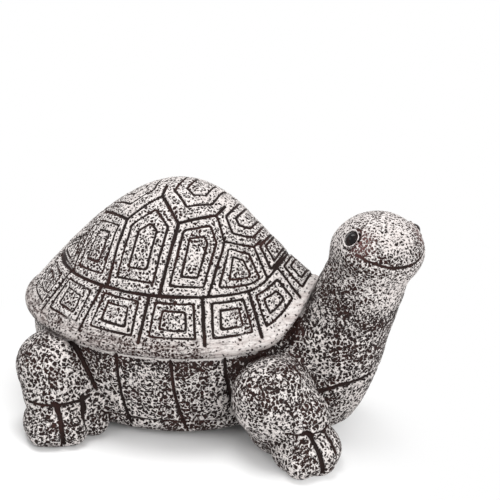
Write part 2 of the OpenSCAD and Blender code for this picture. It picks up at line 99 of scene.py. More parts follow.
class TurtleShell(bpy.types.PropertyGroup):
    """The dome, its rim and the hollow under it."""

    rim_h: length("Rim height", "Height of the smooth band round the rim", 0.004)
    rim_roll: length("Rim swell", "How far the band swells outward", 0.0012)
    peak_shift: length("Peak shift", "How far the peak lies forward of the middle", 0.007)
    arch_rise: length("Arch rise", "Rise of the rim over the neck", 0.018)
    arch_flare: length("Arch flare", "How far the rim reaches forward there", 0.004)
    arch_half: angle("Arch half angle", "Half angle of the rise over the neck", 30)
    dome_round: share("Dome roundness", "Exponent of the dome from peak to rim", 1.92)
    dome_flank: share("Dome flank", "Exponent of the dome's flank", 1.09)
    wall: length("Wall", "Thickness of the shell at its peak", 0.005)
    overhang: length("Overhang", "How far the shell hangs over the body", 0.002)
    ledge_w: length("Ledge width", "Width of the ledge round the lip", 0.0075)
    lip_w: length("Lip width", "Thickness of the raised lip", 0.0045)
    lip_h: length("Lip height", "Height of the lip above the ledge", 0.0055)
    lip_gap: length("Lip gap", "Gap between lip and shell", 0.001)
    seat_gap: length("Seat gap", "Gap under the shell where it rests", 0.00035)
    arch_gap: length("Arch gap", "Further gap under the rise over the neck", 0.001)
    neck_gap: length("Neck gap", "Gap between the rim and the neck", 0.001)
    ring_at: share("Ring", "Line between costals and marginals, from peak to rim", 0.79)
    skirt_at: share("Skirt", "Lower ends of the marginals, from peak to rim", 0.985)
    nuchal_half: angle("Nuchal half angle", "Half angle of the single scute over the neck", 11)
    marginal_first: angle("First marginal", "Angle of the first marginal beside it", 20)
    marginal_pitch: angle("Marginal pitch", "Angle of each marginal after that", 25.5)
    line_outer: share("Outer growth line", "From the seam of a scute to its middle", 0.31)
    line_inner: share("Inner growth line", "From the seam of a scute to its middle", 0.66)


class TurtleBody(bpy.types.PropertyGroup):
    """Torso, neck, head and legs."""

    belly_z: length("Belly height", "Height of the belly above the floor", 0.0015)
    plate_z: length("Belly line height", "Height of the edge line of the belly plate", 0.0085)
    belly_tuck: length("Belly tuck", "How far the flank draws in", 0.0035)
    belly_round: length("Belly round", "Sideways reach of the round under the belly", 0.0085)
    floor_z: length("Well floor", "Height of the well's floor", 0.017)
    floor_fillet: length("Floor fillet", "Fillet between floor and wall", 0.006)
    well_draft: length("Well draft", "Draft of the well's wall", 0.003)
    tail_l: length("Tail length", "Length of the tail behind the body", 0.008)
    tail_half: length("Tail half width", "Half width of the tail at its root", 0.007)
    tail_tip: length("Tail tip", "Half width of the tail's tip", 0.0016)
    neck_half: length("Neck half width", "Half width of the neck under the head", 0.0145)
    chest_half: length("Chest half width", "Half width of the chest", 0.021)
    neck_ahead: length("Neck foot", "How far the neck's foot lies ahead of the rim", 0.0025)
    neck_low: length("Neck foot height", "Height of the neck's foot above the belly", 0.0135)
    neck_bow: length("Throat bow", "How far the throat bows forward", 0.002)
    head_ahead: length("Head reach", "How far the head's middle lies ahead of the rim", 0.028)
    head_side: length("Head side", "Sideways place of the head's middle, to the right", 0.004)
    head_z: length("Head height", "Height of the head's middle", 0.0775)
    head_half_l: length("Head half length", "Half length of the head", 0.0185)
    head_half_w: length("Head half width", "Half width of the head", 0.017)
    head_half_h: length("Head half height", "Half height of the head", 0.0145)
    head_turn: angle("Head turn", "How far the head is turned to the right", 45)
    head_tip: angle("Head tip", "How far the face is tipped up", 14)
    mouth_drop: length("Mouth drop", "Depth of the mouth below the head's middle", 0.0044)
    mouth_smile: length("Smile", "Rise of the mouth to its corners", 0.006)
    mouth_half: angle("Mouth half angle", "Half angle of the mouth", 58)
    eye_out: length("Eye proud", "How far a bead stands out of the head", 0.0016)
    eye_gap: length("Eye gap", "Gap between a bead and its socket", 0.00025)
    eyelid: length("Eyelid", "Thickness of the lid round an eye", 0.0009)
    front_ahead: length("Front feet", "Front feet, ahead of the rim", 0.0127)
    front_in: length("Front feet in", "Front feet, in from the widest part of the rim", 0.0145)
    stride: length("Stride", "How far the left front foot stays behind", 0.017)
    front_turn: angle("Front toes", "Direction of the front toes", 23)
    shoulder_back: length("Shoulders", "Shoulders, behind the front of the rim", 0.0018)
    shoulder_in: length("Shoulders in", "Shoulders, in from the widest part of the rim", 0.016)
    shoulder_r: length("Shoulder radius", "Radius of the shoulders", 0.0145)
    rear_ahead: length("Rear feet", "Rear feet, ahead of the back of the rim", 0.034)
    rear_out: length("Rear feet out", "Rear feet, out from the widest part of the rim", 0.002)
    rear_turn: angle("Rear toes", "Direction of the rear toes", 43)
    thigh_ahead: length("Thighs", "Thighs, ahead of the back of the rim", 0.0288)
    thigh_in: length("Thighs in", "Thighs, in from the widest part of the rim", 0.0045)
    thigh_r: length("Thigh radius", "Radius of the thighs", 0.0135)
    limb_z: length("Limb height", "Height of the middle of thighs and shoulders", 0.026)
    shoulder_drop: length("Shoulder drop", "How much lower the soft top of the shoulders lies", 0.0025)
    leg_root: length("Leg root", "How far the lower legs run on into the body", 0.014)
    foot_half: length("Foot half width", "Half width of a foot", 0.0135)
    foot_h: length("Foot height", "Height of a foot", 0.017)
    foot_flat: share("Foot flatness", "Height of a foot's form against its width", 0.8)
    toe_r: length("Toe radius", "Radius of a toe", 0.0062)
    toe_root: length("Toe root", "Radius of a toe's root in the middle of the foot", 0.0076)
    toe_flat: length("Toe flat", "How deep the toes are cut flat underneath", 0.0008)
    toe_reach: length("Toe reach", "How far the toes reach from the middle of the foot", 0.0085)
    toe_short: length("Outer toes", "How much shorter the outer toes are", 0.0035)
    front_pitch: length("Front toe pitch", "Spacing of the front toes", 0.0072)
    front_slide: length("Front toe place", "How far the front toes lie inward", -0.0018)
    rear_pitch: length("Rear toe pitch", "Spacing of the rear toes", 0.0102)
    rear_slide: length("Rear toe place", "How far the rear toes lie inward", 0.0028)
    toe_gather: share("Toe gather", "How close the roots of the toes lie against their tips", 0.6)
    ankle_in: length("Ankle", "How much slimmer an ankle is than the foot", 0.002)
    ankle_back: length("Ankle place", "How far the ankle lies behind the middle of the foot", 0.004)
    groove_back: length("Flank grooves", "Middle groove of a flank, behind the front of the rim", 0.0388)
    groove_pitch: length("Flank groove pitch", "Spacing of these grooves", 0.0215)
    groove_crowd: length("Front groove", "How far the front groove stays clear of the leg", 0.003)
    groove_lean: length("Flank groove lean", "How far a groove's lower end leans forward", 0.0035)
    step: length("Grain", "Spacing of the points on the body's skin", 0.0009)


class TurtleCarving(bpy.types.PropertyGroup):
    """The carved lines and the hand-worked surface."""

    seam_w: length("Seam width", "Width of the seams and toe grooves", 0.00165)
    seam_d: length("Seam depth", "Depth of the seams and toe grooves", 0.001)
    line_w: length("Line width", "Width of the growth lines and creases", 0.00115)
    line_d: length("Line depth", "Depth of the growth lines and creases", 0.0006)
    wobble: length("Wobble", "How far the carved lines stray", 0.0006)
    lump: length("Unevenness", "Height of the lumps that the hand left", 0.0005)
    seed: IntProperty(name="Seed", description="Seed of the lumps and strays", default=7, min=0)


class TurtlePaint(bpy.types.PropertyGroup):
    """Colours and speckle of the casting."""

    cream: colour("Dry brush", "Off-white that is brushed over the high places", (0.78, 0.74, 0.72))
    taupe: colour("Thin brush", "Where the off-white is thin", (0.50, 0.44, 0.42))
    brown: colour("Wash", "Dark brown that stays in the pits", (0.015, 0.009, 0.008))
    umber: colour("Seams", "Redder brown of the wash", (0.032, 0.0135, 0.011))
    well: colour("Well", "Satin brown inside the well", (0.085, 0.034, 0.026))
    lip: colour("Lip", "Grey brushed over the lip", (0.27, 0.225, 0.24))
    rim: colour("Rim", "Cream brushed over the rim", (0.66, 0.62, 0.60))
    blush: colour("Blush", "Reddish brown beside the eyes", (0.115, 0.054, 0.05))
    bead: colour("Eye", "Black of the eyes", (0.006, 0.005, 0.005))
    shell_cover: share("Shell wash", "How much of the shell stays dark", 0.541)
    body_cover: share("Body wash", "How much of the body stays dark", 0.557)
    shell_pit: length("Shell pits", "Spacing of the pits on the shell", 0.0014)
    body_pit: length("Body pits", "Spacing of the pits on the body", 0.0017)
    fine_pit: length("Fine pits", "Spacing of the pits on the face and at the front", 0.00135)


class TurtleStage(bpy.types.PropertyGroup):
    """Camera and light."""

    azimuth: angle("Azimuth", "Direction of the camera round the turtle", 23.3)
    elevation: angle("Elevation", "Height of the camera above the horizon", 22)
    distance: length("Distance", "From the camera to the middle of the shell", 0.48)
    aim_z: length("Aim height", "Height of the middle of the shell", 0.06)
    aim_x: share("Aim right", "Turn of the camera to the right, as a slope", 0.0695)
    aim_y: share("Aim up", "Turn of the camera upward, as a slope", 0.0051)
    lens: FloatProperty(name="Lens", description="Focal length in millimetres", default=85)
    key: FloatProperty(name="Key light", description="Power of the large light overhead", default=8.0)
    fill: FloatProperty(name="Fill light", description="Power of the light at the right", default=5.2)
    front: FloatProperty(name="Front light", description="Power of the light at the left", default=2.0)
    sky: FloatProperty(name="Sky", description="Strength of the even light from all round", default=0.56)


GROUPS = {
    "turtle_shell": TurtleShell,
    "turtle_body": TurtleBody,
    "turtle_carving": TurtleCarving,
    "turtle_paint": TurtlePaint,
    "turtle_stage": TurtleStage,
}


class Wire:
    """An output socket; Python's operators on it add Math nodes."""

    def __init__(self, graph, socket):
        self.graph = graph
        self.socket = socket

    def out(self, name):
        """Another output of the same node."""
        return Wire(self.graph, self.socket.node.outputs[name])

    def math(self, operation, *values):
        return self.graph.node("ShaderNodeMath", {"operation": operation}, dict(enumerate(values)))

    def __add__(self, other):
        return self.math("ADD", self, other)

    def __radd__(self, other):
        return self.math("ADD", other, self)

    def __sub__(self, other):
        return self.math("SUBTRACT", self, other)

    def __rsub__(self, other):
        return self.math("SUBTRACT", other, self)

    def __mul__(self, other):
        return self.math("MULTIPLY", self, other)

    def __rmul__(self, other):
        return self.math("MULTIPLY", other, self)

    def __truediv__(self, other):
        return self.math("DIVIDE", self, other)

    def __rtruediv__(self, other):
        return self.math("DIVIDE", other, self)

    def most(self, other):
        """The greater of the two."""
        return self.math("MAXIMUM", self, other)

    def least(self, other):
        """The lesser of the two."""
        return self.math("MINIMUM", self, other)

    def step(self, low, high):
        """A smooth step from 0 at low to 1 at high."""
        return self.graph.node(
            "ShaderNodeMapRange", {"interpolation_type": "SMOOTHSTEP"},
            {"Value": self, "From Min": low, "From Max": high},
        )


class Graph:
    """A node tree that is written as formulas."""

    def __init__(self, tree):
        self.tree = tree
        tree.nodes.clear()

    def node(self, kind, settings=None, inputs=None, out=0):
        """Adds a node: settings first, then the values or links of its sockets; gives one output."""
        node = self.tree.nodes.new(kind)
        for key, value in (settings or {}).items():
            setattr(node, key, value)
        for key, value in (inputs or {}).items():
            socket = node.inputs[key]
            if isinstance(value, Wire):
                self.tree.links.new(value.socket, socket)
            else:
                socket.default_value = value
        return Wire(self, node.outputs[out]) if node.outputs else None

    def vector(self, operation, a, b):
        """A vector sum or product."""
        return self.node("ShaderNodeVectorMath", {"operation": operation}, {0: a, 1: b})

    def scaled(self, vector, amount):
        """A vector times a number."""
        return self.node(
            "ShaderNodeVectorMath", {"operation": "SCALE"}, {"Vector": vector, "Scale": amount}
        )

    def noise(self, place, spacing, detail=2.0, roughness=0.5, distortion=0.0):
        """Noise with features of that spacing in metres."""
        return self.node("ShaderNodeTexNoise", {}, {
            "Vector": place, "Scale": 1 / spacing, "Detail": detail,
            "Roughness": roughness, "Distortion": distortion,
        })

    def streaks(self, place, along, spacing, detail=3.0, roughness=0.6):
        """Noise that is pressed together along Z, so that it runs round the turtle, or drawn out."""
        return self.noise(self.vector("MULTIPLY", place, (1.0, 1.0, along)), spacing, detail, roughness)

    def mix(self, factor, a, b):
        """A mix of two colours."""
        return self.node("ShaderNodeMix", {"data_type": "RGBA"}, {0: factor, 6: a, 7: b}, 2)

    def attribute(self, name):
        """A number that is stored on the points of the mesh."""
        return self.node("ShaderNodeAttribute", {"attribute_name": name}, {}, "Fac")


class Turtle:
    """The turtle's form: sizes of the solid model's boxes together with those of the panels."""

    costal_seams = np.radians([18.6, 53.7, 77.3, 104.4, 130.9, 172])
    crest_corners = [(0.63, 16.1), (0.39, 33.4), (0.245, 106.6), (0.52, 163)]
    flank_corners = [(0.545, 36.4), (0.428, 72.8), (0.463, 121.5), (0.63, 147.1)]
    arc_points = 12
    last_seam = math.radians(170)

    def __init__(self, scene):
        self.s = s = scene.turtle_shell
        self.b = b = scene.turtle_body
        low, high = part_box("shell_lid")
        self.seat_z = low[2]
        self.shell_h = high[2] - low[2]
        self.half_l = (high[0] - low[0] - s.arch_flare) / 2 - s.rim_roll
        self.half_w = (high[1] - low[1]) / 2 - s.rim_roll
        self.x = low[0] + s.rim_roll + self.half_l
        self.lip_l = self.half_l - s.overhang - s.ledge_w
        self.lip_w = self.half_w - s.overhang - s.ledge_w
        self.ledge_z = self.seat_z - s.seat_gap
        self.lip_z = self.ledge_z + s.lip_h
        self.flank_h = self.ledge_z - b.plate_z
        self.head_at = np.array([self.half_l + b.head_ahead, -b.head_side, b.head_z])
        turn = Matrix.Rotation(-b.head_turn, 3, "Z") @ Matrix.Rotation(-b.head_tip, 3, "Y")
        self.head_turn = np.array(turn)

    def world(self, points):
        """Points that were measured from the shell's middle, in the row frame."""
        return np.asarray(points) + [self.x, 0, 0]

    def lift(self, r):
        """Height of the dome from peak to rim, as a share."""
        return np.power(np.clip(1 - np.power(r, self.s.dome_round), 0, 1), self.s.dome_flank)

    def arch(self, t):
        """Rise of the rim over the neck, as a share."""
        a = np.abs((t + math.pi) % (2 * math.pi) - math.pi)
        return np.where(a < self.s.arch_half, (1 + np.cos(math.pi * a / self.s.arch_half)) / 2, 0)

    def saddle(self, t):
        """Rise of the ledge over the neck."""
        return self.s.arch_rise * self.arch(t) - self.s.arch_gap * np.sqrt(self.arch(t))

    def dome(self, u, v):
        """The shell's outside for places on the scute map."""
        s = self.s
        r = np.hypot(u, v)
        t = np.arctan2(v, u)
        rise = self.arch(t) * r**3
        return np.stack([
            self.half_l * u + s.peak_shift * self.lift(r) + s.arch_flare * rise * np.cos(t),
            self.half_w * v + s.arch_flare * rise * np.sin(t),
            self.seat_z + s.rim_h + (self.shell_h - s.rim_h) * self.lift(r) + s.arch_rise * rise,
        ], -1)

    def rim(self, t, out, z):
        """A loop round the rim."""
        s = self.s
        n = np.stack([np.cos(t) / self.half_l, np.sin(t) / self.half_w], -1)
        n /= np.linalg.norm(n, axis=-1, keepdims=True)
        flare = s.arch_flare * self.arch(t)
        return np.stack([
            (self.half_l + flare) * np.cos(t) + out * n[..., 0],
            (self.half_w + flare) * np.sin(t) + out * n[..., 1],
            self.seat_z + z + s.arch_rise * self.arch(t),
        ], -1)

    def hollow(self, t, r, z):
        """A loop in the hollow under the shell."""
        s = self.s
        recess = s.lip_h + s.lip_gap
        height = self.shell_h - s.wall - recess
        return np.stack([
            (self.lip_l + s.lip_gap) * r * np.cos(t) + s.peak_shift * self.lift(r),
            (self.lip_w + s.lip_gap) * r * np.sin(t),
            self.seat_z + z + height * self.lift(r) + s.arch_rise * self.arch(t) * r**3,
        ], -1)

    def corner(self, r, degrees):
        """A corner of a scute on the scute map."""
        t = math.radians(degrees)
        return np.array([r * math.cos(t), r * math.sin(t)])

    def ring_arc(self, start, end):
        """Points on the line between costals and marginals."""
        t = np.linspace(start, end, self.arc_points)
        return [np.array([self.s.ring_at * math.cos(a), self.s.ring_at * math.sin(a)]) for a in t]

    def marginal_seams(self):
        """Angles of the seams between the marginals of one side."""
        s = self.s
        seams = [s.nuchal_half, s.nuchal_half + s.marginal_first]
        while seams[-1] + s.marginal_pitch < self.last_seam:
            seams.append(seams[-1] + s.marginal_pitch)
        return seams + [math.pi]

    def scutes(self):
        """Outlines of the vertebrals, costals and marginals on the scute map."""
        crest = [self.corner(*c) for c in self.crest_corners]
        flank = [self.corner(*c) for c in self.flank_corners]
        over = np.array([1, -1])
        first, last = self.costal_seams[0], self.costal_seams[-1]
        edges = [self.ring_arc(-first, first) + [crest[0], crest[0] * over]]
        for i in range(len(crest) - 1):
            edges.append([
                crest[i] * over, crest[i], flank[i], crest[i + 1], crest[i + 1] * over, flank[i] * over
            ])
        rear = [flank[-1] * over, crest[-1] * over, crest[-1], flank[-1]]
        edges.append(self.ring_arc(last, 2 * math.pi - last) + rear)
        for i in range(len(self.costal_seams) - 1):
            edge = self.ring_arc(*self.costal_seams[i:i + 2]) + [flank[min(i, len(flank) - 1)]]
            if i < len(crest):
                edge.append(crest[i])
            if 0 < i < len(crest):
                edge.append(flank[i - 1])
            edges += [edge, [q * over for q in edge]]
        seams = self.marginal_seams()
        bounds = [(-seams[0], seams[0])]
        for start, end in zip(seams, seams[1:]):
            bounds += [(start, end), (-end, -start)]
        low = self.s.skirt_at / self.s.ring_at
        for start, end in bounds:
            arc = self.ring_arc(start, end)
            edges.append([q * low for q in arc] + arc[::-1])
        return [np.array(edge) for edge in edges]

    def head_point(self, local):
        """A point given in the head's own axes."""
        return self.head_at + np.asarray(local) @ self.head_turn.T

    def mouth_z(self, turn):
        """Height of the mouth in the head's own axes, at an angle round the head."""
        b = self.b
        return b.mouth_smile * (1 - np.cos(turn)) / (1 - math.cos(b.mouth_half)) - b.mouth_drop

    def eye(self, name):
        """Middle and radius of an eye bead, the way in which it looks and two directions across that."""
        b = self.b
        low, high = (np.array(c) - [self.x, 0, 0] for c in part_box(name))
        centre = (low + high) / 2
        local = self.head_turn.T @ (centre - self.head_at)
        n = self.head_turn @ (local / np.array([b.head_half_l, b.head_half_w, b.head_half_h]) ** 2)
        n /= np.linalg.norm(n)
        u = np.cross(n, [0, 0, 1])
        u /= np.linalg.norm(u)
        return centre, (high[2] - low[2]) / 2, n, u, np.cross(n, u)

    def flank(self, x, k, side):
        """A point on the flank at a share of its height."""
        tuck = self.b.belly_tuck * (1 - k) ** 2
        half_l = self.half_l - self.s.overhang - tuck
        half_w = self.half_w - self.s.overhang - tuck
        y = side * half_w * math.sqrt(1 - (x / half_l) ** 2)
        return np.array([x, y, self.b.plate_z + self.flank_h * k])

    def toes(self, foot):
        """Spacing and sideways place of a foot's toes, along its own left."""
        b = self.b
        pitch, slide = (b.front_pitch, b.front_slide) if foot[0] > 0 else (b.rear_pitch, b.rear_slide)
        return pitch, -slide if foot[1] > 0 else slide

    def legs(self):
        """Hip, hip radius, foot and direction of the toes for each leg."""
        b = self.b
        front = np.array([self.half_l + b.front_ahead, self.half_w - b.front_in])
        rear = np.array([b.rear_ahead - self.half_l, self.half_w + b.rear_out])
        shoulder = np.array([self.half_l - b.shoulder_back, self.half_w - b.shoulder_in])
        thigh = np.array([b.thigh_ahead - self.half_l, self.half_w - b.thigh_in])
        for side in (-1, 1):
            mirror = np.array([1, side])
            back = np.array([b.stride if side > 0 else 0, 0])
            yield shoulder * mirror, b.shoulder_r, (front - back) * mirror, side * b.front_turn
            yield thigh * mirror, b.thigh_r, rear * mirror, side * b.rear_turn


def smooth_min(a, b, k):
    """The lesser of two distances, with a fillet of size k."""
    h = np.clip(0.5 + 0.5 * (b - a) / k, 0, 1)
    return b + (a - b) * h - k * h * (1 - h)


def ball(middle, reach):
    """Distance to a flattened ball, near its skin."""

    def distance(x, y, z):
        d = ((x - middle[0]) / reach[0], (y - middle[1]) / reach[1], (z - middle[2]) / reach[2])
        k = np.sqrt(d[0] ** 2 + d[1] ** 2 + d[2] ** 2)
        slope = np.sqrt((d[0] / reach[0]) ** 2 + (d[1] / reach[1]) ** 2 + (d[2] / reach[2]) ** 2)
        return k * (k - 1) / np.maximum(slope, 1e-6)

    return distance


def oval(x, y, a, b):
    """Distance to an ellipse, near its edge."""
    f = (x / a) ** 2 + (y / b) ** 2 - 1
    return f / np.maximum(2 * np.sqrt((x / a**2) ** 2 + (y / b**2) ** 2), 1 / a)


def under(height):
    """Distance to all that lies below a height."""
    return lambda x, y, z: z - height + 0 * x + 0 * y


def ramp(value, start, end):
    """0 at start, 1 at end and even between them."""
    return np.clip((value - start) / (end - start), 0, 1)


def turns(count):
    """Angles of points evenly round a circle."""
    return np.linspace(0, 2 * math.pi, count, endpoint=False)


def bowed(start, bend, end, count):
    """Points on a curve from start to end that bends toward a third place."""
    way = np.linspace(0, 1, count)[:, None]
    return start * (1 - way) ** 2 + bend * 2 * way * (1 - way) + end * way**2


class Field:
    """Distance to a surface on a grid of points, joined up from simple forms."""

    # In steps of the grid: the distance where no form is yet, and the room that a form needs round it.
    empty = 12
    margin = 5

    def __init__(self, low, high, step):
        self.low = np.asarray(low, float)
        self.step = step
        self.count = np.ceil((np.asarray(high) - self.low) / step).astype(int) + 1
        self.value = np.full(self.count, self.empty * step, np.float32)

    def block(self, low, high, fillet):
        """Slices of the grid and the coordinates of its points in and near a box."""
        room = fillet + self.margin * self.step
        first = np.floor((np.asarray(low) - room - self.low) / self.step).astype(int)
        last = np.ceil((np.asarray(high) + room - self.low) / self.step).astype(int) + 1
        a, b = np.clip(first, 0, self.count), np.clip(last, 0, self.count)
        axes = [(self.low[i] + self.step * np.arange(a[i], b[i])).astype(np.float32) for i in range(3)]
        part = tuple(slice(a[i], b[i]) for i in range(3))
        return part, np.meshgrid(*axes, indexing="ij", sparse=True)

    def add(self, distance, low, high, fillet):
        """Joins a form that lies inside a box."""
        part, place = self.block(low, high, fillet)
        self.value[part] = smooth_min(self.value[part], distance(*place), fillet)

    def cut(self, distance, low, high, fillet):
        """Takes away a form that lies inside a box."""
        part, place = self.block(low, high, fillet)
        self.value[part] = -smooth_min(-self.value[part], distance(*place), fillet)

    def limb(self, a, b, ra, rb, fillet):
        """Joins a rounded limb from a to b."""
        a, b = np.asarray(a, float), np.asarray(b, float)
        way = b - a
        size = max(way @ way, 1e-12)

        def distance(x, y, z):
            d = (x - a[0], y - a[1], z - a[2])
            h = np.clip((d[0] * way[0] + d[1] * way[1] + d[2] * way[2]) / size, 0, 1)
            off = (d[0] - way[0] * h) ** 2 + (d[1] - way[1] * h) ** 2 + (d[2] - way[2] * h) ** 2
            return np.sqrt(off) - (ra + (rb - ra) * h)

        r = max(ra, rb)
        self.add(distance, np.minimum(a, b) - r, np.maximum(a, b) + r, fillet)

    def sample(self, points):
        """The field at any points, by the nearest eight of the grid."""
        p = (points - self.low) / self.step
        i = np.clip(np.floor(p).astype(int), 0, self.count - 2)
        f = np.clip(p - i, 0, 1)
        total = np.zeros(len(points))
        for c in np.ndindex(2, 2, 2):
            w = np.prod(np.where(c, f, 1 - f), axis=1)
            total += w * self.value[i[:, 0] + c[0], i[:, 1] + c[1], i[:, 2] + c[2]]
        return total

    def skin(self):
        """Points and quads of the zero level, with one point in each cell that it crosses."""
        v = self.value
        inside = v < 0
        n = self.count - 1
        some = np.zeros(n, bool)
        every = np.ones(n, bool)
        corners = list(np.ndindex(2, 2, 2))
        for c in corners:
            part = inside[c[0]:c[0] + n[0], c[1]:c[1] + n[1], c[2]:c[2] + n[2]]
            some |= part
            every &= part
        cells = np.argwhere(some & ~every)
        index = np.full(n, -1)
        index[tuple(cells.T)] = np.arange(len(cells))
        value = {c: v[cells[:, 0] + c[0], cells[:, 1] + c[1], cells[:, 2] + c[2]] for c in corners}
        total = np.zeros((len(cells), 3))
        hits = np.zeros((len(cells), 1))
        for c in corners:
            for axis in range(3):
                if c[axis]:
                    continue
                d = tuple(1 if i == axis else c[i] for i in range(3))
                crossed = (value[c] < 0) != (value[d] < 0)
                drop = np.where(crossed, value[c] - value[d], 1)
                place = np.tile(np.array(c, float), (len(cells), 1))
                place[:, axis] += np.where(crossed, value[c] / drop, 0)
                total += place * crossed[:, None]
                hits += crossed[:, None]
        points = self.low + self.step * (cells + total / hits)
        quads = []
        for axis in range(3):
            b, c = (axis + 1) % 3, (axis + 2) % 3
            here = [slice(1, k) for k in n]
            here[axis] = slice(0, n[axis])
            there = list(here)
            there[axis] = slice(1, n[axis] + 1)
            first, second = inside[tuple(here)], inside[tuple(there)]
            at = np.argwhere(first != second)
            leaving = first[tuple(at.T)]
            at = at + [0 if i == axis else 1 for i in range(3)]
            ring = []
            for db, dc in ((0, 0), (-1, 0), (-1, -1), (0, -1)):
                q = at.copy()
                q[:, b] += db
                q[:, c] += dc
                ring.append(index[tuple(q.T)])
            quad = np.stack(ring, 1)
            quad[~leaving] = quad[~leaving][:, ::-1]
            quads.append(quad)
        return points, np.concatenate(quads)


def mesh_object(name, points, faces, edges=()):
    """A mesh object at the origin, smoothly shaded."""
    mesh = bpy.data.meshes.new(name)
    mesh.from_pydata(points, edges, faces)
    if len(faces):
        mesh.shade_smooth()
    obj = bpy.data.objects.new(name, mesh)
    bpy.context.scene.collection.objects.link(obj)
    return obj


def loft(name, loops, first, last):
    """A closed mesh through loops of equal length, from one tip to the other."""
    loops = np.asarray(loops)
    m, n = loops.shape[:2]
    points = np.concatenate([[first], loops.reshape(-1, 3), [last]])
    i = np.arange(n)
    j = (i + 1) % n
    rows = 1 + n * np.arange(m - 1)[:, None]
    quads = np.stack([rows + i, rows + n + i, rows + n + j, rows + j], -1).reshape(-1, 4).tolist()
    end = 1 + (m - 1) * n
    tips = [[0, 1 + int(a), 1 + int(b)] for a, b in zip(i, j)]
    tips += [[end + int(a), m * n + 1, end + int(b)] for a, b in zip(i, j)]
    return mesh_object(name, points, quads + tips)


def store(obj, name, values):
    """Stores a number on each point of a mesh."""
    attribute = obj.data.attributes.new(name, "FLOAT", "POINT")
    attribute.data.foreach_set("value", np.asarray(values, np.float32))


def line_object(name, lines):
    """Polylines as one mesh of edges."""
    points = []
    edges = []
    for line in lines:
        start = len(points)
        points += [tuple(p) for p in line]
        edges += [(start + k, start + k + 1) for k in range(len(line) - 1)]
    return mesh_object(name, points, [], edges)


def divided(corners, spacing, closed=False):
    """A polyline with points at most that far apart."""
    corners = list(corners)
    if closed:
        corners.append(corners[0])
    out = []
    for a, b in zip(corners, corners[1:]):
        n = max(1, math.ceil(np.linalg.norm(np.subtract(b, a)) / spacing))
        out += [np.asarray(a) + (np.asarray(b) - np.asarray(a)) * k / n for k in range(n)]
    return out + [np.asarray(corners[-1])]


def drawn_in(outline, part, tree, core):
    """A closed outline, drawn in by a part of its half width and laid on the skin from outside."""
    whole = 0.98
    squeeze = 0.3
    outside = 0.03
    loop = np.array(divided(outline, LINE_SPACING, True))[:-1]
    middle = loop.mean(0)
    axes = np.linalg.svd(loop - middle)[2]
    normal = axes[2] * np.sign(axes[2] @ (middle - core))
    axes = axes[:2]
    flat = (loop - middle) @ axes.T
    after = np.roll(flat, -1, axis=0) - flat
    if np.sum(flat[:, 0] * after[:, 1] - flat[:, 1] * after[:, 0]) < 0:
        flat = flat[::-1]
        after = np.roll(flat, -1, axis=0) - flat
    way = after / np.linalg.norm(after, axis=1, keepdims=True)

    def room(points):
        d = points[:, None] - flat[None]
        h = np.clip(np.sum(d * after, -1) / np.sum(after**2, -1), 0, 1)
        return np.linalg.norm(d - h[..., None] * after, axis=-1).min(1)

    depth = part * room(np.zeros((1, 2)))[0]
    inner = flat + after / 2 + depth * np.stack([-way[:, 1], way[:, 0]], 1)
    inner = inner[room(inner) > whole * depth] * [1 - squeeze * part, 1]
    line = middle + np.array(divided(inner, LINE_SPACING, True)) @ axes
    return [tuple(tree.ray_cast(Vector(p + outside * normal), Vector(-normal))[0] or p) for p in line]


def skin_tree(obj):
    """A search tree over an object's faces."""
    mesh = bmesh.new()
    mesh.from_mesh(obj.data)
    tree = BVHTree.FromBMesh(mesh)
    mesh.free()
    return tree


def laid(tree, line, reach):
    """The parts of a line that lie near a skin, laid on it."""
    parts = [[]]
    for p in divided(line, LINE_SPACING):
        found = tree.find_nearest(Vector(p), reach)[0]
        if found:
            parts[-1].append(tuple(found))
        elif parts[-1]:
            parts.append([])
    return [part for part in parts if len(part) > 1]


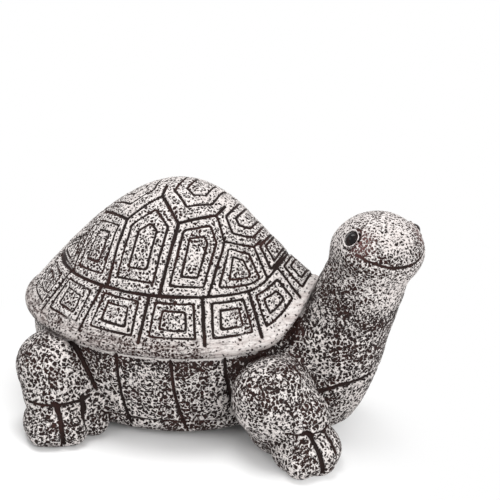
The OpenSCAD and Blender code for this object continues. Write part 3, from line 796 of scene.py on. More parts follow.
def carving_tree():
    """Geometry nodes that carve two sets of lines into a surface and leave the hand's unevenness."""
    tree = bpy.data.node_groups.new("carving", "GeometryNodeTree")
    graph = Graph(tree)
    face = tree.interface
    face.new_socket("Geometry", in_out="OUTPUT", socket_type="NodeSocketGeometry")
    sockets = {}
    for name, kind in (
        ("Geometry", "Geometry"), ("Seams", "Object"), ("Lines", "Object"),
        ("Seam Width", "Float"), ("Seam Depth", "Float"), ("Line Width", "Float"), ("Line Depth", "Float"),
        ("Wobble", "Float"), ("Unevenness", "Float"), ("Seed", "Int"), ("Material", "Material"),
    ):
        sockets[name] = face.new_socket(name, in_out="INPUT", socket_type="NodeSocket" + kind).identifier
    source = graph.node("NodeGroupInput")
    place = graph.node("GeometryNodeInputPosition")
    normal = graph.node("GeometryNodeInputNormal")
    shift = graph.node("ShaderNodeCombineXYZ", {}, {0: source.out("Seed"), 1: 0.3, 2: 0.7})
    drawn = graph.vector("ADD", place, shift)
    stray = graph.vector("SUBTRACT", graph.noise(drawn, STRAY, 1.0).out("Color"), (0.5, 0.5, 0.5))
    probe = graph.vector("ADD", place, graph.scaled(stray, source.out("Wobble")))
    width = 0.6 + 0.8 * graph.noise(drawn, PRESS, 1.0)
    pen, free = (
        graph.node("GeometryNodeInputNamedAttribute", {"data_type": "FLOAT"}, {"Name": name})
        for name in ("pen", "free")
    )
    cuts = []
    for name, wide in (("Seams", pen * source.out("Seam Width")), ("Lines", source.out("Line Width"))):
        line = graph.node("GeometryNodeObjectInfo", {}, {"Object": source.out(name)}, "Geometry")
        away = graph.node(
            "GeometryNodeProximity", {"target_element": "EDGES"},
            {"Geometry": line, "Sample Position": probe}, "Distance",
        )
        cuts.append(away / (wide * width))
    seam, line = (1.0 - cut.step(0.15, 0.7) for cut in cuts)
    lumps = graph.noise(drawn, LUMP, 2.0) - 0.5 + 0.4 * (graph.noise(drawn, DENT, 1.0) - 0.5)
    sink = seam * source.out("Seam Depth") + line * source.out("Line Depth")
    offset = graph.scaled(normal, lumps * source.out("Unevenness") * free - sink)
    marked = graph.node(
        "GeometryNodeStoreNamedAttribute", {"data_type": "FLOAT", "domain": "POINT"},
        {"Geometry": source.out("Geometry"), "Name": "apart", "Value": cuts[0].least(cuts[1])},
    )
    moved = graph.node("GeometryNodeSetPosition", {}, {"Geometry": marked, "Offset": offset})
    whole = graph.node("GeometryNodeRealizeInstances", {}, {"Geometry": moved})
    painted = graph.node(
        "GeometryNodeSetMaterial", {}, {"Geometry": whole, "Material": source.out("Material")}
    )
    graph.node("NodeGroupOutput", {}, {0: painted})
    return tree, sockets


def carve(obj, seams, lines, material, carving, deeper=1.0):
    """Carves lines into an object and leaves it a plain mesh."""
    tree, sockets = carving_tree()
    helpers = [line_object(obj.name + "_seams", seams), line_object(obj.name + "_lines", lines)]
    modifier = obj.modifiers.new("carving", "NODES")
    modifier.node_group = tree
    for name, value in (
        ("Seams", helpers[0]), ("Seam Width", carving.seam_w), ("Seam Depth", carving.seam_d * deeper),
        ("Lines", helpers[1]), ("Line Width", carving.line_w), ("Line Depth", carving.line_d),
        ("Wobble", carving.wobble * deeper), ("Unevenness", carving.lump), ("Seed", carving.seed),
        ("Material", material),
    ):
        modifier[sockets[name]] = value
    obj.data.materials.append(material)
    bpy.context.view_layer.update()
    carved = bpy.data.meshes.new_from_object(obj.evaluated_get(bpy.context.evaluated_depsgraph_get()))
    if not len(carved.polygons):
        raise RuntimeError("carving left no surface on " + obj.name)
    plain = obj.data
    obj.modifiers.remove(modifier)
    obj.data = carved
    carved.name = obj.name
    bpy.data.meshes.remove(plain)
    for helper in helpers:
        bpy.data.objects.remove(helper)
    bpy.data.node_groups.remove(tree)


def rgba(value):
    """A colour with full alpha."""
    return (*value, 1.0)


def speckle(graph, place, pit, grain):
    """Pits of that spacing: their noise, and the height of the surface with the ridges between them."""
    stray = graph.vector("SUBTRACT", graph.noise(place, pit * 1.4, 2.0).out("Color"), (0.5, 0.5, 0.5))
    probe = graph.vector("ADD", place, graph.scaled(stray, pit * 1.2))
    cell = graph.node(
        "ShaderNodeTexVoronoi", {"feature": "DISTANCE_TO_EDGE"},
        {"Vector": probe, "Scale": 1 / pit}, "Distance",
    )
    pits = graph.noise(place, pit * 0.75, 2.0, 0.6, 0.4)
    return pits, 0.28 * (0.9 - 2.0 * cell) + 0.47 * pits + 0.25 * grain


def casting_material(name, paint, cover, pit, rub):
    """Dark brown casting with off-white dry brushed over it; cover says how much shows dark."""
    material = bpy.data.materials.new(name)
    material.use_nodes = True
    graph = Graph(material.node_tree)
    place = graph.node("ShaderNodeTexCoord", {}, {}, "Object")
    crease, sleek, inside, light, blush, fine = (
        graph.attribute(key) for key in ("crease", "sleek", "inside", "light", "blush", "fine")
    )
    cream, taupe, brown, umber, well, reddish = (
        rgba(c) for c in (paint.cream, paint.taupe, paint.brown, paint.umber, paint.well, paint.blush)
    )
    # crease holds the wash that stays in folds together with painted shade: in folds, beside the shell's rim,
    # on the flanks, under the chin and on the rim's lower rows.
    folded = crease.least(1.0)
    pale = light.least(1.0)
    worn = sleek * (1.0 - 0.75 * fine)
    grain = graph.noise(place, GRAIN, 2.0, 0.6, 0.2)
    pits, grit = speckle(graph, place, pit, grain)
    grit = grit + fine * (speckle(graph, place, paint.fine_pit, grain)[1] - grit)
    broad = graph.noise(place, PATCH, 2.0, 0.5)
    streak = graph.streaks(place, 6.0, STREAK)
    hair = graph.streaks(place, 7.0, HAIR)
    runs = graph.streaks(place, 0.3, RUN, 2.0, 0.5)
    apart = graph.attribute("apart") + 0.22 * (grain - 0.5)
    wash = 1.0 - apart.step(0.34, 0.5)
    edge = apart.step(0.4, 0.6) * (1.0 - apart.step(0.9, 1.5))
    # More dark shows where crease is high, partly wash and partly painted shade. Less shows where the light
    # attribute is high; on the shell's crown that is a painted highlight.
    level = cover + 0.2 * (broad - 0.5) + 0.05 * crease + 0.03 * blush
    level = level - 0.052 * light - 0.03 * edge - 0.05 * sleek * (1.0 + 1.6 * fine)
    bare = 1.0 - grit.step(level - 0.032, level + 0.032)
    thin = 1.0 - (grain * 0.6 + broad * 0.4).step(0.38, 0.6)
    brushed = graph.mix(thin * 0.55 + 0.3 * pale * pits, cream, taupe)
    rubbed = graph.mix(streak.step(0.35, 0.65), rgba(rub), taupe)
    rubbed = graph.mix(pale, rubbed, cream)
    # The rubbed band turns toward umber where crease is high: painted shade on the shell's lower rim rows,
    # and wash with painted shade in the lip's folds.
    rubbed = graph.mix(0.55 * folded.most(0.4 - 0.4 * fine), rubbed, umber)
    brushed = graph.mix(sleek * 0.85, brushed, rubbed)
    dark = graph.mix(broad.step(0.4, 0.65) * pits.step(0.3, 0.55), brown, umber)
    dark = graph.mix(blush, dark, reddish)
    skin = graph.mix(bare.most(wash), brushed, dark)
    skin = graph.mix(worn * (1.0 - hair.step(0.42, 0.49)) * 0.75, skin, umber)
    drips = runs.step(0.57, 0.62) * grain.step(0.35, 0.6) * (1.0 - folded)
    skin = graph.mix(worn * drips * 0.8, skin, umber)
    satin = graph.mix(streak.step(0.42, 0.7) * 0.35, well, umber)
    base = graph.mix(inside, skin, satin)
    rough = (0.7 - 0.1 * bare) * (1.0 - inside) + inside * (0.34 + 0.2 * streak)
    height = grit.step(level - 0.1, level + 0.08) * (1.0 - wash) * (1.0 - inside) + 0.25 * grain
    bump = graph.node("ShaderNodeBump", {}, {"Strength": 0.8, "Distance": 0.0009, "Height": height})
    shader = graph.node(
        "ShaderNodeBsdfPrincipled", {},
        {"Base Color": base, "Roughness": rough, "Normal": bump, "Specular IOR Level": 0.12},
    )
    graph.node("ShaderNodeOutputMaterial", {}, {"Surface": shader})
    return material


def bead_material(paint):
    """Glossy black with a faint cast in it."""
    material = bpy.data.materials.new("eye_bead")
    material.use_nodes = True
    graph = Graph(material.node_tree)
    place = graph.node("ShaderNodeTexCoord", {}, {}, "Object")
    cast = graph.noise(place, CAST, 2.0)
    base = graph.mix(cast.step(0.4, 0.7) * 0.5, rgba(paint.bead), rgba(paint.umber))
    shader = graph.node(
        "ShaderNodeBsdfPrincipled", {},
        {"Base Color": base, "Roughness": 0.05 + 0.05 * cast, "Specular IOR Level": 0.15},
    )
    graph.node("ShaderNodeOutputMaterial", {}, {"Surface": shader})
    return material


class TURTLE_OT_shell(bpy.types.Operator):
    """Build the lift-off shell with its carved scutes"""

    bl_idname = "turtle.shell"
    bl_label = "Shell"

    around = 540
    dome_rows = 124
    rim_rows = 11
    recess_rows = 4
    hollow_rows = (0.97, 0.92, 0.85, 0.76, 0.66, 0.55, 0.43, 0.3, 0.16, 0.05)
    peak_r = 0.008
    rim_degrees = 72
    skirt_slack = 0.001
    seam_reach = 0.004

    # Places ahead of the middle and above the seat where a finish begins and where it is full; the crown
    # values set a painted highlight on the top of the dome.
    slim_ahead = (0.018, 0.038)
    slim_height = (0.016, 0.022)
    slimming = 0.38
    fine_ahead = (0.028, 0.043)
    crown_at = 0.7
    crown_fade = 0.012
    crown_highlight = 0.5

    # The same, in rows from the row at which the rim begins.
    even_rows = (0, -4)
    sleek_rows = (-6, -1)
    # rim_shade_rows: the rim's lower, downward-facing rows get painted shade.
    rim_shade_rows = (3, 10)

    def execute(self, context):
        scene = context.scene
        turtle = Turtle(scene)
        loops, rim_row, under_row = self.loops(turtle)
        shell = loft("shell_lid_casting", loops, loops[0].mean(0), loops[-1].mean(0))
        row = np.repeat(np.arange(len(loops)), self.around)
        row = np.concatenate([[0], row, [len(loops) - 1]])
        self.marks(shell, turtle, row, rim_row, under_row)
        seams, lines = self.grooves(shell, turtle)
        paint = scene.turtle_paint
        material = casting_material("shell_casting", paint, paint.shell_cover, paint.shell_pit, paint.rim)
        carve(shell, seams, lines, material, scene.turtle_carving)
        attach(shell, "shell")
        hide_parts("shell_lid")
        return {"FINISHED"}

    def loops(self, turtle):
        """Loops from the peak over the rim into the hollow, and the rows at which rim and underside begin."""
        s = turtle.s
        t = turns(self.around)
        loops = []
        for r in np.linspace(self.peak_r, s.skirt_at, self.dome_rows):
            loops.append(turtle.dome(r * np.cos(t), r * np.sin(t)))
        rim_row = len(loops)
        for a in np.radians(np.linspace(self.rim_degrees, -self.rim_degrees, self.rim_rows)):
            loops.append(turtle.rim(t, s.rim_roll * math.cos(a), s.rim_h * (1 + math.sin(a)) / 2))
        loops.append(turtle.rim(t, -s.rim_roll, 0))
        under_row = len(loops)
        recess = s.lip_h + s.lip_gap
        for z in np.linspace(0, recess, self.recess_rows):
            loops.append(turtle.hollow(t, 1, z))
        for r in self.hollow_rows:
            loops.append(turtle.hollow(t, r, recess))
        return turtle.world(loops), rim_row, under_row

    def marks(self, shell, turtle, row, rim_row, under_row):
        """Stores where the shell is even, smooth or fine, where its rim's lower rows carry painted shade and
        its crown a painted highlight, and how wide its seams are.
        """
        outside = row < under_row
        place = np.array([v.co for v in shell.data.vertices])
        ahead = place[:, 0] - turtle.x
        height = place[:, 2] - turtle.seat_z
        slim = ramp(ahead, *self.slim_ahead) * ramp(height, *self.slim_height)
        crown = ramp(height - self.crown_at * turtle.shell_h, 0, self.crown_fade)
        store(shell, "free", ramp(row - rim_row, *self.even_rows))
        store(shell, "sleek", ramp(row - rim_row, *self.sleek_rows) * outside)
        store(shell, "inside", row > under_row)
        # The rim's lower rows are darkened as painted shade, since they face downward.
        store(shell, "crease", ramp(row - rim_row, *self.rim_shade_rows) * outside)
        store(shell, "fine", ramp(ahead, *self.fine_ahead))
        store(shell, "pen", 1 - self.slimming * slim)
        # A painted highlight: the top of the dome is painted paler, as if lit from above.
        store(shell, "light", self.crown_highlight * crown * outside)

    def grooves(self, shell, turtle):
        """Seams round the scutes, and the growth lines in them."""
        s = turtle.s
        tree = skin_tree(shell)
        core = turtle.world([0, 0, turtle.seat_z])
        seams = []
        lines = []
        for edge in turtle.scutes():
            outline = turtle.world(turtle.dome(*edge.T))
            low = np.hypot(*edge.T) > s.skirt_at - self.skirt_slack
            for k in range(len(edge)):
                if not (low[k] and low[k - 1]):
                    seams += laid(tree, outline[[k - 1, k]], self.seam_reach)
            for part in (s.line_outer, s.line_inner):
                lines.append(drawn_in(outline, part, tree, core))
        return seams, lines


class TURTLE_OT_body(bpy.types.Operator):
    """Build the body with neck, head, legs and the well for the key"""

    bl_idname = "turtle.body"
    bl_label = "Body"

    # Fillets between joined forms and along cut edges.
    soft = 0.004
    mild = 0.003
    firm = 0.002
    worn = 0.0012
    tight = 0.001
    crisp = 0.0008
    sharp = 0.0006
    keen = 0.0002

    # Places where a paint begins and where it is full.
    well_span = (0.0006, 0)
    # shade_span and shoulder_span set the painted shade on the body beside the shell's rim.
    shade_span = (0.007, 0.002)
    shoulder_span = (0.64, 0.84)
    face_span = (0.024, 0.02)
    brow_span = (-0.002, 0.01)
    lip_span = (0.00182, 0.00042)
    chin_ahead = (0.001, 0.007)
    chin_low = (-0.005, -0.008)
    chin_away = (0.028, 0.022)
    # throat_low and throat_away set the painted shade under the chin.
    throat_low = (-0.009, -0.013)
    throat_away = (0.032, 0.024)
    neck_ahead = (-0.004, 0.006)
    neck_away = (0.016, 0.024)
    neck_span = (0.02, 0.03)
    lid_span = (0.0009, 0.0004)
    cheek_span = (0.00765, 0.00315)
    # flank_side, flank_front and flank_rear set the painted shade on the flanks under the shell.
    flank_side = (0, 0.008)
    flank_front = (0.04, 0.03)
    flank_rear = (0, 0.006)
    front_span = (0.045, 0.06)
    sole_span = (0.001, 0.003)

    # Other places and margins of the paint.
    # flank_at, flank_back and flank_low also bound that painted shade on the flanks.
    flank_at = 0.6
    flank_back = 0.02
    flank_low = 0.016
    front_back = 0.01
    floor_slack = 0.001
    lip_margin = 0.003
    rim_slack = 0.0004
    seat_slack = 0.0015
    seat_rise = 0.026
    lip_under = 0.002
    lip_past = 0.2
    cheek_out = 0.001
    cheek_at = (0.0055, 0, -0.0005)

    # Carved lines: their places, as lengths or shares, and their arcs.
    foot_out = 0.0004
    foot_up = 0.0003
    groove_heights = np.linspace(-0.15, 0.94, 16)
    belly_line = np.linspace(-0.55, 0.62, 60)
    belly_height = 0.02
    toe_arc = np.radians(np.linspace(75, 0, 14))
    toe_up = 0.001
    ankle_arc = np.radians(np.linspace(-75, 75, 24))
    ankle_out = 0.0008
    ankle_drop = 0.0005
    thigh_fold = ((0.6, 0.9), (1.1, 0.3), (1.4, -0.5))
    throat_arc = np.radians(np.linspace(-65, 65, 40))
    throat_half_l = 0.0265
    throat_half_w = 0.0235
    throat_z = 0.0282
    throat_sag = 0.004
    groove_half = 0.0003
    mouth_half_w = 0.0001

    # Depths at which folds and ridges are felt for, and sizes and counts of the form.
    fold_reach = (0.0015, 0.003)
    ridge_depth = 0.0015
    room_steps = 4
    line_reach = 0.006
    deeper = 1.4
    neck_rows = 11
    chest_rows = 5
    head_room = 0.022
    head_blunt = 2.3
    root_more = 0.001
    breast_less = 0.002
    tail_fall = math.radians(20)
    lid_roll = 0.42
    lid_round = 48
    lid_section = 14

    def execute(self, context):
        scene = context.scene
        turtle = Turtle(scene)
        low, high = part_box("turtle_body")
        room = self.room_steps * turtle.b.step
        start = np.array(low) - [turtle.x, 0, 0] - room
        end = np.array(high) - [turtle.x, 0, 0] + room
        field = Field(start, end, turtle.b.step)
        self.torso(field, turtle, start, end)
        self.neck(field, turtle)
        self.limbs(field, turtle)
        self.cavity(field, turtle, start, end)
        lids, lid_quads = self.eyes(field, turtle)
        field.cut(under(0), start, (end[0], end[1], 0), self.sharp)
        points, quads = field.skin()
        quads = np.concatenate([quads, len(points) + lid_quads])
        points = np.concatenate([points, lids])
        body = mesh_object("turtle_body_casting", turtle.world(points), quads)
        self.marks(body, field, turtle, points)
        tree = skin_tree(body)
        seams, lines = (
            [part for line in group for part in laid(tree, turtle.world(line), self.line_reach)]
            for group in self.grooves(turtle)
        )
        paint = scene.turtle_paint
        material = casting_material("body_casting", paint, paint.body_cover, paint.body_pit, paint.lip)
        carve(body, seams, lines, material, scene.turtle_carving, self.deeper)
        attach(body, "body")
        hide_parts("turtle_body")
        return {"FINISHED"}

    def torso(self, field, turtle, low, high):
        """The tub that follows the shell's plan."""
        b, s = turtle.b, turtle.s

        def distance(x, y, z):
            t = np.arctan2(y, x)
            k = np.clip((z - b.plate_z) / turtle.flank_h, 0, 1)
            low = np.clip((b.plate_z - z) / (b.plate_z - b.belly_z), 0, 1)
            tuck = b.belly_tuck * (1 - k) ** 2 + b.belly_round * (1 - np.sqrt(1 - low**2))
            flare = s.arch_flare * turtle.arch(t) * k**4
            a = turtle.half_l - s.overhang - tuck + flare
            c = turtle.half_w - s.overhang - tuck + flare
            side = oval(x, y, a, c)
            return np.maximum(np.maximum(side, b.belly_z - z), z - turtle.lip_z - s.arch_rise)

        field.add(distance, low, high, self.tight)

    def neck(self, field, turtle):
        """Chest, neck and head."""
        b = turtle.b
        foot = np.array([turtle.half_l + b.neck_ahead, 0, b.belly_z + b.neck_low])
        bend = np.array([turtle.half_l + b.head_ahead / 2 + b.neck_bow, 0, turtle.seat_z])
        top = turtle.head_at
        reach = np.array([b.chest_half, b.chest_half, foot[2] - b.belly_z])
        field.add(ball(foot, reach), foot - reach, foot + reach, self.soft)
        path = bowed(foot, bend, top, self.neck_rows)
        half = b.neck_half + (b.chest_half - b.neck_half) * (1 - np.linspace(0, 1, self.neck_rows))
        for i in range(self.neck_rows - 1):
            fillet = self.soft if i < self.chest_rows else self.tight
            field.limb(path[i], path[i + 1], half[i], half[i + 1], fillet)
        corner = foot + [b.chest_half, b.chest_half, b.belly_z - foot[2]]
        field.cut(under(b.belly_z), foot - b.chest_half, corner, self.soft)
        turn = turtle.head_turn
        sizes = (b.head_half_l, b.head_half_w, b.head_half_h)
        blunt = self.head_blunt

        def head(x, y, z):
            d = (x - top[0], y - top[1], z - top[2])
            u, v, w = (sum(d[k] * turn[k][i] for k in range(3)) for i in range(3))
            f = np.abs(u / sizes[0]) ** blunt + (v / sizes[1]) ** 2 + (w / sizes[2]) ** 2 - 1
            slope = np.sqrt(
                (blunt * np.abs(u / sizes[0]) ** (blunt - 1) / sizes[0]) ** 2
                + (2 * v / sizes[1] ** 2) ** 2 + (2 * w / sizes[2] ** 2) ** 2
            )
            return f / np.maximum(slope, 1 / sizes[0])

        field.add(head, top - self.head_room, top + self.head_room, self.firm)

    def limbs(self, field, turtle):
        """Legs with three toes each, the breast between the shoulders and the tail."""
        b = turtle.b
        breast = []
        for hip, hip_r, foot, turn in turtle.legs():
            in_front = foot[0] > 0
            here = np.array([foot[0], foot[1], 0])
            hip = np.array([hip[0], hip[1], b.limb_z - (b.shoulder_drop if in_front else 0)])
            ahead = np.array([math.cos(turn), math.sin(turn), 0])
            across = np.array([-math.sin(turn), math.cos(turn), 0])
            slim = b.foot_half - b.ankle_in
            ankle = here - b.ankle_back * ahead + [0, 0, b.foot_h]
            root = here * (1 - b.leg_root / np.linalg.norm(foot)) + [0, 0, slim]
            root_r = slim + self.root_more
            fillet = self.soft if in_front else self.firm
            field.limb(hip, ankle, hip_r, slim, fillet)
            field.limb(hip, root, hip_r, root_r, fillet)
            field.limb(root, ankle, root_r, slim, self.firm)
            middle = here + [0, 0, b.foot_h - b.foot_half * b.foot_flat]
            reach = np.array([b.foot_half, b.foot_half, b.foot_half * b.foot_flat])
            field.add(ball(middle, reach), middle - reach, middle + reach, self.crisp)
            pitch, slide = turtle.toes(foot)
            for i in (-1, 0, 1):
                beside = (i * pitch + slide) * across
                start = here + b.toe_gather * beside + [0, 0, b.toe_root - b.toe_flat]
                tip = here + (b.toe_reach - abs(i) * b.toe_short) * ahead + beside
                tip = tip + [0, 0, b.toe_r - b.toe_flat]
                field.limb(start, tip, b.toe_root, b.toe_r, self.crisp)
            if in_front:
                breast.append(hip)
        breast_r = b.shoulder_r - self.breast_less
        field.limb(*breast, breast_r, breast_r, self.soft)
        root = -turtle.half_l + turtle.s.overhang + b.belly_tuck + b.tail_half
        tip = -turtle.half_l + turtle.s.overhang - b.tail_l
        drop = (root - tip) * math.tan(self.tail_fall)
        z = b.plate_z + b.tail_half
        field.limb((root, 0, z), (tip + b.tail_tip, 0, z - drop), b.tail_half, b.tail_tip, self.mild)

    def cavity(self, field, turtle, low, high):
        """Takes out the well, the ledge round its lip and the room of the shell."""
        b, s = turtle.b, turtle.s
        out = s.rim_roll + s.neck_gap

        def room(x, y, z):
            t = np.arctan2(y, x)
            flare = s.arch_flare * turtle.arch(t) + out
            clear = oval(x, y, turtle.half_l + flare, turtle.half_w + flare)
            above = turtle.ledge_z + turtle.saddle(t) - z
            gap = s.lip_gap * (1 + turtle.arch(t))
            beside = oval(x, y, turtle.lip_l + gap, turtle.lip_w + gap)
            crevice = np.maximum(beside, turtle.ledge_z - z)
            lip = np.maximum(oval(x, y, turtle.lip_l, turtle.lip_w), z - turtle.lip_z)
            return -smooth_min(-np.minimum(np.maximum(clear, above), crevice), lip, self.sharp)

        def well(x, y, z):
            depth = np.clip((turtle.lip_z - z) / (turtle.lip_z - b.floor_z), 0, 1)
            wall = s.lip_w + b.well_draft * depth
            side = oval(x, y, turtle.lip_l - wall, turtle.lip_w - wall)
            return -smooth_min(-side, z - b.floor_z, b.floor_fillet)

        field.cut(room, (low[0], low[1], turtle.ledge_z), high, self.sharp)
        field.cut(well, (low[0], low[1], b.floor_z), high, self.worn)

    def eyes(self, field, turtle):
        """Sockets for the eye beads, and the points and faces of the lids round them."""
        b = turtle.b
        points, quads = [], []
        shape = (self.lid_round, self.lid_section)
        around = turns(self.lid_round)[:, None, None]
        about = turns(self.lid_section)[None, :, None]
        for name in EYES:
            centre, r, n, u, v = turtle.eye(name)

            def socket(x, y, z):
                away = (x - centre[0]) ** 2 + (y - centre[1]) ** 2 + (z - centre[2]) ** 2
                return np.sqrt(away) - r - b.eye_gap

            field.cut(socket, centre - r, centre + r, self.keen)
            out = r - b.eye_out
            roll = self.lid_roll * b.eyelid
            ring = math.sqrt(r**2 - out**2) + b.eye_gap + roll + roll * np.cos(about)
            across = u * np.cos(around) + v * np.sin(around)
            loops = centre + ring * across + n * (out + roll * np.sin(about))
            index = sum(map(len, points)) + np.arange(math.prod(shape)).reshape(shape)
            beside = np.roll(index, -1, axis=0)
            corners = [index, beside, np.roll(beside, -1, axis=1), np.roll(index, -1, axis=1)]
            quads.append(np.stack(corners, -1).reshape(-1, 4))
            points.append(loops.reshape(-1, 3))
        return np.concatenate(points), np.concatenate(quads)

    def outward(self, field, points):
        """The way out of the surface at each point."""
        aside = np.eye(3) * field.step
        slope = np.stack([field.sample(points + d) - field.sample(points - d) for d in aside], 1)
        return slope / (np.linalg.norm(slope, axis=1, keepdims=True) + 1e-12)

    def marks(self, body, field, turtle, points):
        """Stores where the body is darkened by wash and painted shade, where it is pale, smooth or finely
        speckled, and where it is left even.
        """
        x, y, z = points.T
        out = self.outward(field, points)
        # fold: how closed in each point is. It darkens folds and recesses, partly the wash that stays there
        # and partly painted shade.
        fold = sum(ramp(field.sample(points + out * reach), reach, 0) for reach in self.fold_reach)
        depth = self.ridge_depth
        ridge = ramp(field.sample(points - out * depth), -depth, -0.75 * depth)
        inside, seat, shade = self.seat_marks(turtle, x, y, z)
        face, neck, throat, light, blush = self.head_marks(turtle, points)
        # flank: painted shade on the flanks, which lie in the shadow of the shell.
        flank = ramp(np.abs(y) - self.flank_at * turtle.half_w, *self.flank_side)
        flank *= ramp(x, *self.flank_front)
        flank *= ramp(np.maximum(x + self.flank_back, self.flank_low - z), *self.flank_rear)
        # wash_plus_shade: wash in folds, a darker neck, and painted shade on the flanks, beside the shell's
        # rim and under the chin.
        wash_plus_shade = np.clip(fold * (1 - 0.7 * face) + 0.25 * neck + 0.3 * flank, 0, 2)
        wash_plus_shade += 1.2 * shade + 0.6 * throat
        front = ramp(z, *self.front_span) * (x > turtle.half_l - self.front_back)
        store(body, "crease", np.where(seat, np.clip(fold, 0, 1), wash_plus_shade))
        store(body, "inside", inside)
        store(body, "sleek", seat * (1 - inside))
        store(body, "light", np.where(seat, ridge, light))
        store(body, "pen", np.ones(len(points)))
        store(body, "fine", np.where(seat, 1, front))
        store(body, "blush", blush)
        store(body, "free", ramp(z, *self.sole_span) * (1 - seat) * (1 - inside))

    def seat_marks(self, turtle, x, y, z):
        """The inside of the well, the lip and ledge, and the painted shade beside the shell's rim."""
        b, s = turtle.b, turtle.s
        fade = self.well_span[0]
        wall = oval(x, y, turtle.lip_l - s.lip_w, turtle.lip_w - s.lip_w)
        inside = ramp(wall, *self.well_span) * ramp(turtle.lip_z - z, fade, 2 * fade)
        inside *= z > b.floor_z - self.floor_slack
        t = np.arctan2(y, x)
        flare = s.arch_flare * turtle.arch(t) + s.rim_roll
        rim = oval(x, y, turtle.half_l + flare, turtle.half_w + flare)
        by_lip = oval(x, y, turtle.lip_l + self.lip_margin, turtle.lip_w + self.lip_margin) < 0
        floor = turtle.ledge_z + np.where(by_lip, 0, turtle.saddle(t))
        seat = (z > floor - self.seat_slack) & (z < turtle.ledge_z + self.seat_rise)
        seat &= rim < self.rim_slack
        # Painted shade on the body beside the shell's rim, stronger toward the neck.
        off = np.abs(turtle.seat_z + s.rim_h / 2 + s.arch_rise * turtle.arch(t) - z)
        near = np.hypot(np.maximum(rim, 0), np.maximum(off - s.rim_h / 2, 0))
        shade = ramp(near, *self.shade_span)
        shade *= 0.45 + 0.55 * ramp(x / turtle.half_l, *self.shoulder_span)
        return inside, seat, shade

    def head_marks(self, turtle, points):
        """The face, the neck, the throat darkened as painted shade under the chin, the pale places of the
        head and the blush by the eyes.
        """
        b = turtle.b
        local = (points - turtle.head_at) @ turtle.head_turn
        away = np.linalg.norm(local, axis=1)
        forth, beside, up = local.T
        face = ramp(away, *self.face_span)
        turn = np.arctan2(beside / b.head_half_w, forth / b.head_half_l)
        lip = ramp(np.abs(turtle.mouth_z(turn) - self.lip_under - up), *self.lip_span)
        lip *= np.abs(turn) < b.mouth_half + self.lip_past
        ahead = ramp(forth, *self.chin_ahead)
        chin = ahead * ramp(up, *self.chin_low) * ramp(away, *self.chin_away)
        # throat: painted shade under the chin.
        throat = ramp(away, *self.throat_away) * ramp(up, *self.throat_low) * (1 - ahead)
        neck = ramp(points[:, 0] - turtle.half_l, *self.neck_ahead)
        neck *= ramp(away, *self.neck_away) * ramp(points[:, 2], *self.neck_span)
        light = face * ramp(up + 0.1 * forth, *self.brow_span)
        light = np.maximum(light, 0.8 * np.maximum(face * lip, chin))
        blush = np.zeros(len(points))
        for name in EYES:
            centre, r, n = turtle.eye(name)[:3]
            lid = ramp(np.linalg.norm(points - centre, axis=1) - r, *self.lid_span)
            light = np.maximum(light, 5 * lid)
            cheek = centre + self.cheek_out * n + turtle.head_turn @ self.cheek_at
            near = np.linalg.norm(points - cheek, axis=1)
            blush = np.maximum(blush, ramp(near, *self.cheek_span) * (1 - lid))
        return face, neck, throat, light, blush

    def broad(self, line, way):
        """A line twice, moved apart, for a broader groove."""
        return [line + way, line - np.array(way)]

    def grooves(self, turtle):
        """Wide grooves and fine lines near the skin, before they are laid on it."""
        seams = []
        lines = []
        self.torso_grooves(turtle, seams, lines)
        for leg in turtle.legs():
            self.leg_grooves(turtle, leg, seams, lines)
        self.head_grooves(turtle, seams, lines)
        return seams, lines

    def torso_grooves(self, turtle, seams, lines):
        """The line at the lip's foot, and the grooves and the belly line of each flank."""
        b = turtle.b
        t = np.linspace(0, 2 * math.pi, 200)
        half_l, half_w = turtle.lip_l + self.foot_out, turtle.lip_w + self.foot_out
        z = np.full(len(t), turtle.ledge_z + self.foot_up)
        lines.append(np.stack([half_l * np.cos(t), half_w * np.sin(t), z], 1))
        for side in (-1, 1):
            for i in (-1, 0, 1):
                crowd = b.groove_crowd if i > 0 else 0
                x = turtle.half_l - b.groove_back + i * b.groove_pitch - crowd
                seams.append([
                    turtle.flank(x + b.groove_lean * (1 - k) ** 2, k, side) for k in self.groove_heights
                ])
            belly = self.belly_line * turtle.half_l
            lines.append([turtle.flank(x, self.belly_height, side) for x in belly])

    def leg_grooves(self, turtle, leg, seams, lines):
        """The grooves between the toes, the fold over the ankle and the one before a thigh."""
        b = turtle.b
        hip, hip_r, foot, turn = leg
        ahead = np.array([math.cos(turn), math.sin(turn)])
        across = np.array([-math.sin(turn), math.cos(turn)])
        reach = b.toe_reach + b.toe_r - b.toe_short / 2
        pitch, slide = turtle.toes(foot)
        for i in (-0.5, 0.5):
            valley = foot + (i * pitch + slide) * across
            line = np.array([
                [*(valley + reach * math.cos(a) * ahead), self.toe_up + b.foot_h * math.sin(a)]
                for a in self.toe_arc
            ])
            seams.extend(self.broad(line, [*(self.groove_half * across), 0]))
        a = self.ankle_arc[:, None]
        slim = b.foot_half - b.ankle_in + self.ankle_out
        over = foot - b.ankle_back * ahead + slim * (np.cos(a) * ahead + np.sin(a) * across)
        over = np.column_stack([over, np.full(len(a), b.foot_h - self.ankle_drop)])
        if foot[0] > 0:
            lines.append(over)
        else:
            seams.append(over)
            seams.append(bowed(*(
                np.array([hip[0] + hip_r * forth, hip[1], b.limb_z + hip_r * up])
                for forth, up in self.thigh_fold
            ), 20))

